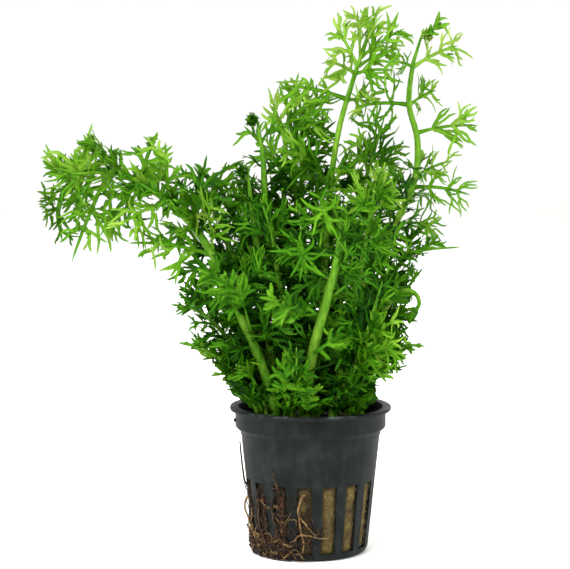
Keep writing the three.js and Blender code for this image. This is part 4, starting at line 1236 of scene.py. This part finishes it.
def mould_pot():
    """The pot's skin between rows of points, with the slots left open and their cut edges closed."""
    tissue = Tissue()
    section = pot_profile()
    rows = []
    for radius, z in section:
        angles = column_angles(radius)
        rows.append([tissue.put(outward(deg) * radius + UP * z, EVEN_AGE) for deg in angles])
    count = len(rows[0])

    def in_slot(row, column):
        z_low, z_high = sorted((section[row][1], section[row + 1][1]))
        if column % SLOT_PERIOD >= SLOT_PARTS or not FLOOR_WITHIN < section[row][0] < BODY_TOP_RADIUS:
            return False
        return z_low >= SLOT_FOOT - NEAR and z_high <= SLOT_TOP + NEAR

    def beside_slots(inset):
        """The rows beside the slots, on the wall's skin this far in."""
        return [k for k, (radius, z) in enumerate(section)
                if SLOT_FOOT <= z <= SLOT_TOP and abs(radius - body_radius(z) + inset) < NEAR]

    for row, (a, b) in enumerate(zip(rows, rows[1:])):
        for i in range(count):
            j = (i + 1) % count
            if not in_slot(row, i):
                tissue.face(a[i], a[j], b[j], b[i])
    under = tissue.put(Vector((0, 0, 0)), EVEN_AGE)
    floor = tissue.put(Vector((0, 0, WALL)), EVEN_AGE)
    for i in range(count):
        j = (i + 1) % count
        tissue.face(under, rows[0][j], rows[0][i])
        tissue.face(floor, rows[-1][i], rows[-1][j])
    outer = [rows[k] for k in beside_slots(0)]
    inner = [rows[k] for k in reversed(beside_slots(WALL))]
    for first in range(0, count, SLOT_PERIOD):
        last = first + SLOT_PARTS
        for a, b, c, d in zip(outer, outer[1:], inner, inner[1:]):
            tissue.face(a[first], b[first], d[first], c[first])
            tissue.face(a[last], c[last], d[last], b[last])
        for i in range(first, last):
            tissue.face(outer[0][i], inner[0][i], inner[0][i + 1], outer[0][i + 1])
            tissue.face(outer[-1][i], outer[-1][i + 1], inner[-1][i + 1], inner[-1][i])
    gate_nub(tissue)
    plastic = finish("moulded_polypropylene", polypropylene)
    made = tissue.piece("moulded_pot", [plastic], "pot_plastic", "pot")
    edges = made.modifiers.new("eased_edges", "BEVEL")
    edges.width = EASED_WIDTH * MM
    edges.segments = 2
    edges.limit_method = "ANGLE"
    edges.angle_limit = math.radians(EASED_FROM_DEG)
    edges.harden_normals = True


def gate_nub(tissue):
    """The small round nub on the left of the collar, sunk into it by half."""
    rows = []
    for share in (0, 0.4, 0.75):
        turn = math.radians(90 * share)
        at = outward(NUB_DEG) * (COLLAR_RADIUS + NUB_RADIUS * math.sin(turn) * 0.9) + UP * NUB_HEIGHT
        half = NUB_RADIUS * math.cos(turn)
        rows.append(round_ring(tissue, at, outward(NUB_DEG), UP, half, NUB_SIDES, EVEN_AGE))
    tissue.tube(rows)


WOOL_COLUMNS = 240
WOOL_ROWS = 65
WOOL_GAP = 0.25
SWELL_HALF_DEG = 5.6
SWELL = 0.75
FIBRE_COUNT = 1500
FIBRE_HALF_DEG = 5.2
FIBRE_LIFT = (-0.75, -0.15)
FIBRE_LONG = (1, 3.2)
FIBRE_HALF, FIBRE_END_HALF = 0.06, 0.04
CLEAN = 0.5
STAIN = 0.47
STAIN_MIDDLE_DEG = -52
STAIN_HALF_DEG = 58
PALE_FIBRES = 0.3


def wool_profile():
    inside = [(2, 1.5), (10, 1.5), (body_radius(1.5) - 1.6, 1.6)]
    heights = [2.5 + 0.6 * k for k in range(WOOL_ROWS)]
    walls = [(body_radius(z) - WALL - WOOL_GAP, z) for z in heights]
    crown = [
        (body_radius(BODY_TOP) - 2.4, WOOL_EDGE_TOP), (WOOL_SHOULDER + 6, 44.6), (WOOL_SHOULDER, 45.1),
    ]
    crown += [(r, WOOL_CROWN - 0.3 * r / WOOL_SHOULDER) for r in (11, 9, 7, 5, 3, 1)]
    return inside + walls + crown


def spin_wool():
    """The plug, with a rough skin that swells a little in the slots, and loose fibres on it."""
    luck = random.Random("rock wool")
    tissue = Tissue()
    rows = []
    for radius, z in wool_profile():
        row = []
        for k in range(WOOL_COLUMNS):
            deg = 360 * k / WOOL_COLUMNS
            at = outward(deg) * radius + UP * z
            rough = noise.noise(at * 0.9) * 0.28 + noise.noise(at * 2.3) * 0.16
            off = (deg - SLOT_FIRST_DEG + SLOT_PITCH_DEG / 2) % SLOT_PITCH_DEG - SLOT_PITCH_DEG / 2
            in_reach = SLOT_FOOT + 0.5 < z < SLOT_TOP - 0.5
            open_slot = max(1 - (off / SWELL_HALF_DEG) ** 2, 0) if in_reach else 0
            grown = rough + SWELL * open_slot ** 0.5 if open_slot else min(rough, 0.02)
            if z > BODY_TOP:
                at += UP * rough * 2.2
                grown = 0
            row.append(tissue.put(at + outward(deg) * grown, stain(deg)))
        rows.append(row)
    for a, b in zip(rows, rows[1:]):
        tissue.finish = 2 if tissue.points[b[0]].z > BODY_TOP - 2 else 0
        tissue.wall(a, b)
    tissue.face(*rows[-1])
    tissue.finish = 0
    tissue.face(*reversed(rows[0]))
    for _ in range(FIBRE_COUNT):
        slot = luck.randrange(SLOT_COUNT)
        deg = SLOT_FIRST_DEG + slot * SLOT_PITCH_DEG + luck.uniform(-FIBRE_HALF_DEG, FIBRE_HALF_DEG)
        z = luck.uniform(SLOT_FOOT + 0.8, SLOT_TOP - 0.8)
        tissue.finish = 1 if luck.random() < PALE_FIBRES else 0
        fibre(tissue, deg, z, luck)
    tissue.piece("spun_wool", [
        finish("mineral_wool", mineral_wool, "#291f0f", "#564823", "#766733"),
        finish("mineral_wool_fibres", mineral_wool, "#3c3117", "#6e6136", "#8d7f53"),
        finish("mineral_wool_mossy", mineral_wool, "#0c1207", "#1a240f", "#313c1b"),
    ], "rock_wool", "rock_wool")


def stain(deg):
    """How clean the wool is at an angle: the roots at the front left stain it dark."""
    off = (deg + (90 - STAIN_MIDDLE_DEG)) % 360 - 90
    return CLEAN - STAIN * max(1 - off ** 2 / STAIN_HALF_DEG ** 2, 0)


def fibre(tissue, deg, z, luck):
    """One loose fibre over the wool in a slot. Real ones are finer than the eye sees here."""
    lift = luck.uniform(*FIBRE_LIFT)
    lean = luck.uniform(0, 2 * math.pi)
    length = luck.uniform(*FIBRE_LONG)
    middle = SLOT_FIRST_DEG + round((deg - SLOT_FIRST_DEG) / SLOT_PITCH_DEG) * SLOT_PITCH_DEG
    points = []
    for k in range(4):
        share = k / 3 - 0.5
        across_mm = math.cos(lean) * length * share + 0.3 * math.sin(share * 5 + lean)
        height = clamp(z + math.sin(lean) * length * share, SLOT_FOOT + 0.3, SLOT_TOP - 0.3)
        wide = math.degrees(SLOT_WIDTH / 2 / body_radius(height)) - 0.6
        turned = clamp(deg + math.degrees(across_mm / body_radius(height)), middle - wide, middle + wide)
        points.append(outward(turned) * (body_radius(height) + lift) + UP * height)
    strand(tissue, points, FIBRE_HALF, FIBRE_END_HALF, 3, stain(deg))


SKEW = Vector((0.31, 0.52, 0.79))


def strand(tissue, points, thick, thin, sides, age):
    """A thin round strand through points, tapering from its foot to its end."""
    rings = []
    last = len(points) - 1
    for k, at in enumerate(points):
        heading = (points[min(k + 1, last)] - points[max(k - 1, 0)]).normalized()
        side = heading.cross(SKEW).normalized()
        rings.append(round_ring(tissue, at, heading, side, lerp(thick, thin, k / last), sides, age))
    tissue.tube(rings)


# Blender's noise starts from the clock unless it is given a number to start from.
ROOT_WANDER_SEED = 3
ROOT_STEPS = 6
ROOT_HALF = 0.42
ROOT_TAPER = 0.55
PALE_ROOTS = ("root_tan", "root_left_loop")
HANGING_COUNT = 66
HANGING_SLOTS = (-3, -3, -2, -2, -2, -2, -1, -1, -1, -1, 0)
HANGING_FROM = (10, 24.5)
HANGING_TO = 1.6
HANGING_TURNED = (-92, 6)
HANGING_MOST = 12
HANGING_BROWN = 0.86
HANGING_HALF = (0.13, 0.27)
FINE_SIDES = 5
# The two sets of fine roots that run round the pot, in a slot's height and at its foot: how many, where
# they start, most places, where they stay and step, how many are brown, and how thick they are.
RUNNING = (
    {"count": 26, "deg": (-85, -8), "z": (8, 23), "most": 8, "turned": (-96, 10), "shown": (6, 24.5),
     "held": (-99, 99), "lift": (0.15, 0.8), "step": (2.5, 7), "rise": (-4, 2.5), "brown": 0.84,
     "half": (0.11, 0.2), "thin": 0.07, "wander": 1.2},
    {"count": 70, "deg": (-92, -12), "z": (0.7, 8), "most": 9, "turned": (-98, 14), "shown": (0.5, 10),
     "held": (0.5, 10), "lift": (0.25, 1.3), "step": (3, 8), "rise": (-1.8, 1.8), "brown": 0.8,
     "half": (0.14, 0.26), "thin": 0.09, "wander": 1.0},
)


def on_wall(deg, z, lift):
    return outward(deg) * (body_radius(z) + lift) + UP * z


def root_strand(tissue, places, thick, thin, luck, wander, sides):
    """A root along (degrees, height, lift) places on the wall, wandering a little between them."""
    course = Course([on_wall(*place) for place in places])
    steps = course.last * ROOT_STEPS
    phase = luck.uniform(0, 6)
    points = []
    for k in range(steps + 1):
        at = course.at(course.last * k / steps)
        shake = noise.noise_vector(at * 0.45 + Vector((phase, 0, phase))) * wander
        out = Vector((at.x, at.y, 0)).normalized()
        shake -= out * shake.dot(out) * 0.6
        at = at + shake * min(k / 3, 1)
        least = body_radius(max(at.z, 0)) + thin
        if k > 4 and math.hypot(at.x, at.y) < least:
            at = out * least + UP * at.z
        at.z = max(at.z, thick + 0.05)
        points.append(at)
    strand(tissue, points, thick, thin, sides, EVEN_AGE)


def hanging_root(tissue, luck):
    """A fine root that leaves a slot at the front left and hangs down the wall."""
    slot = luck.choice(HANGING_SLOTS)
    deg = SLOT_FIRST_DEG + (slot - 1) * SLOT_PITCH_DEG + luck.uniform(-4.2, 4.2)
    z = luck.uniform(*HANGING_FROM)
    places = [(deg, z + 0.6, -0.8), (deg, z, luck.uniform(-0.1, 0.5))]
    heading = luck.uniform(-0.3, 0.3)
    while z > HANGING_TO and len(places) < HANGING_MOST:
        heading = heading * 0.5 + luck.uniform(-0.45, 0.45) * (1.6 if z < 8 else 0.6)
        deg = clamp(deg + heading * 7, *HANGING_TURNED)
        z -= luck.uniform(1.5, 4.5)
        places.append((deg, max(z, 0.5), luck.uniform(0.15, 0.9)))
    tissue.finish = 0 if luck.random() < HANGING_BROWN else 1
    root_strand(tissue, places, luck.uniform(*HANGING_HALF), 0.08, luck, 1.0, FINE_SIDES)


def running_root(tissue, luck, row):
    """A fine root that runs round the pot, over the other ones."""
    deg, z = luck.uniform(*row["deg"]), luck.uniform(*row["z"])
    places = []
    way = luck.choice([-1, 1])
    for _ in range(luck.randrange(4, row["most"])):
        lift = luck.uniform(*row["lift"])
        places.append((clamp(deg, *row["turned"]), clamp(z, *row["shown"]), lift))
        deg += way * luck.uniform(*row["step"])
        z = clamp(z + luck.uniform(*row["rise"]), *row["held"])
    tissue.finish = 0 if luck.random() < row["brown"] else 1
    half = luck.uniform(*row["half"])
    root_strand(tissue, places, half, row["thin"], luck, row["wander"], FINE_SIDES)


def grow_roots():
    """The solid's roots as real strands, then the finer ones that tangle with them."""
    noise.seed_set(ROOT_WANDER_SEED)
    tan = finish("fern_root_tan", fern_root, "#3d2a17", "#69502f", "#94794f")
    brown = finish("fern_root_brown", fern_root, "#0c0704", "#22140a", "#4e331a")
    for name, (places, branches) in ROOTS.items():
        luck = random.Random(name)
        tissue = Tissue()
        root_strand(tissue, places, ROOT_HALF, ROOT_HALF * ROOT_TAPER, luck, 0.25, 8)
        course = Course(places)
        for place, end in branches:
            start = course.at(place)
            middle = start.lerp(Vector(end), 0.5)
            root_strand(tissue, [start, middle, Vector(end)], 0.3, 0.14, luck, 0.8, 6)
        tissue.piece(name + "_strand", [tan if name in PALE_ROOTS else brown], "root", name)
    luck = random.Random("root tangle")
    tissue = Tissue()
    for _ in range(HANGING_COUNT):
        hanging_root(tissue, luck)
    for row in RUNNING:
        for _ in range(row["count"]):
            running_root(tissue, luck, row)
    tissue.piece("root_tangle", [brown, tan], "root")


# ---------------------------------------------------------------------------------------------
# The studio. Places and sizes of lamps are in metres, and their power is in watts.

FLOOR_FLAT = (300, 800, 1500)
FLOOR_SWEEP = 1100
FLOOR_BENDS = 12
FLOOR_SIDES = 96
CAMERA_PLACE = (-0.0087, -0.6, 0.148)
CAMERA_TILT_DEG = 84.6
PHOTO_WIDE = 570
PHOTO_FOCAL = 1775
SENSOR = 36
PLANT_MIDDLE = (0, 0, 0.09)
SOFTBOXES = (
    ("key", (-0.35, -0.55, 1.1), 0.5, 18, PLANT_MIDDLE),
    ("fill", (0.8, -0.5, 0.6), 0.7, 6, PLANT_MIDDLE),
    ("left", (-0.9, -0.6, 0.25), 0.6, 4, PLANT_MIDDLE),
    ("back", (0.1, 0.9, 0.9), 0.8, 8, PLANT_MIDDLE),
    ("wall", (0, 0.7, 0.15), 0.5, 5, (0, 2.6, 0.9)),
)
ROOM_LIGHT = 0.78


def lay_floor():
    """A pale round floor that sweeps up to a wall all round, so that no edge shows from any side."""
    rings = [(radius, 0) for radius in FLOOR_FLAT]
    for k in range(1, FLOOR_BENDS + 1):
        turn = math.radians(90 * k / FLOOR_BENDS)
        out, up = FLOOR_SWEEP * math.sin(turn), FLOOR_SWEEP - FLOOR_SWEEP * math.cos(turn)
        rings.append((FLOOR_FLAT[-1] + out, up))
    verts, faces = [(0, 0, 0)], []
    for radius, z in rings:
        for k in range(FLOOR_SIDES):
            turn = 2 * math.pi * k / FLOOR_SIDES
            verts.append((radius * math.cos(turn) * MM, radius * math.sin(turn) * MM, z * MM))
    for k in range(FLOOR_SIDES):
        then = (k + 1) % FLOOR_SIDES
        faces.append((0, 1 + k, 1 + then))
        for ring in range(len(rings) - 1):
            a, b = 1 + ring * FLOOR_SIDES, 1 + (ring + 1) * FLOOR_SIDES
            faces.append((a + k, b + k, b + then, a + then))
    mesh = bpy.data.meshes.new("floor")
    mesh.from_pydata(verts, [], faces)
    mesh.shade_smooth()
    mesh.materials.append(finish("matt_board", matt_board, "#f4f4f2"))
    floor = bpy.data.objects.new("floor", mesh)
    bpy.context.collection.objects.link(floor)


def softbox(name, place, size, watts, aim):
    lamp = bpy.data.lights.new(name, "AREA")
    lamp.shape = "SQUARE"
    lamp.size = size
    lamp.energy = watts
    lamp.color = linear("#ffffff")[:3]
    made = bpy.data.objects.new(name, lamp)
    made.location = place
    made.rotation_euler = (Vector(aim) - Vector(place)).to_track_quat("-Z", "Y").to_euler()
    bpy.context.collection.objects.link(made)


def set_studio():
    """The photograph's camera, soft light from all sides, and a pale floor."""
    scene = bpy.context.scene
    camera = bpy.data.cameras.new("camera")
    camera.sensor_width = SENSOR
    camera.lens = PHOTO_FOCAL / PHOTO_WIDE * SENSOR
    camera.clip_start, camera.clip_end = 0.01, 20
    made = bpy.data.objects.new("camera", camera)
    made.location = CAMERA_PLACE
    made.rotation_euler = (math.radians(CAMERA_TILT_DEG), 0, 0)
    bpy.context.collection.objects.link(made)
    scene.camera = made
    scene.view_settings.view_transform = "Standard"
    world = bpy.data.worlds.new("studio")
    world.use_nodes = True
    light = world.node_tree.nodes["Background"].inputs
    light[0].default_value = linear("#ffffff")
    light[1].default_value = ROOM_LIGHT
    scene.world = world
    for name, *row in SOFTBOXES:
        softbox("softbox_" + name, *row)
    lay_floor()


set_studio()
stem_green = finish("fern_stalk", fern_stalk)
leaf_green = finish("fern_leaf", fern_leaf)
mould_pot()
spin_wool()
grow_roots()
# Other fronds' points, from which a leaflet gets its painted shade.
leafy = [(point, row["name"]) for row in FRONDS for point in solid_points(row)]
crowd = finder_of([point for point, _ in leafy])
owners = [name for _, name in leafy]
bare_of = bare_points()
for number, row in enumerate(FRONDS):
    grow_frond(number, row)
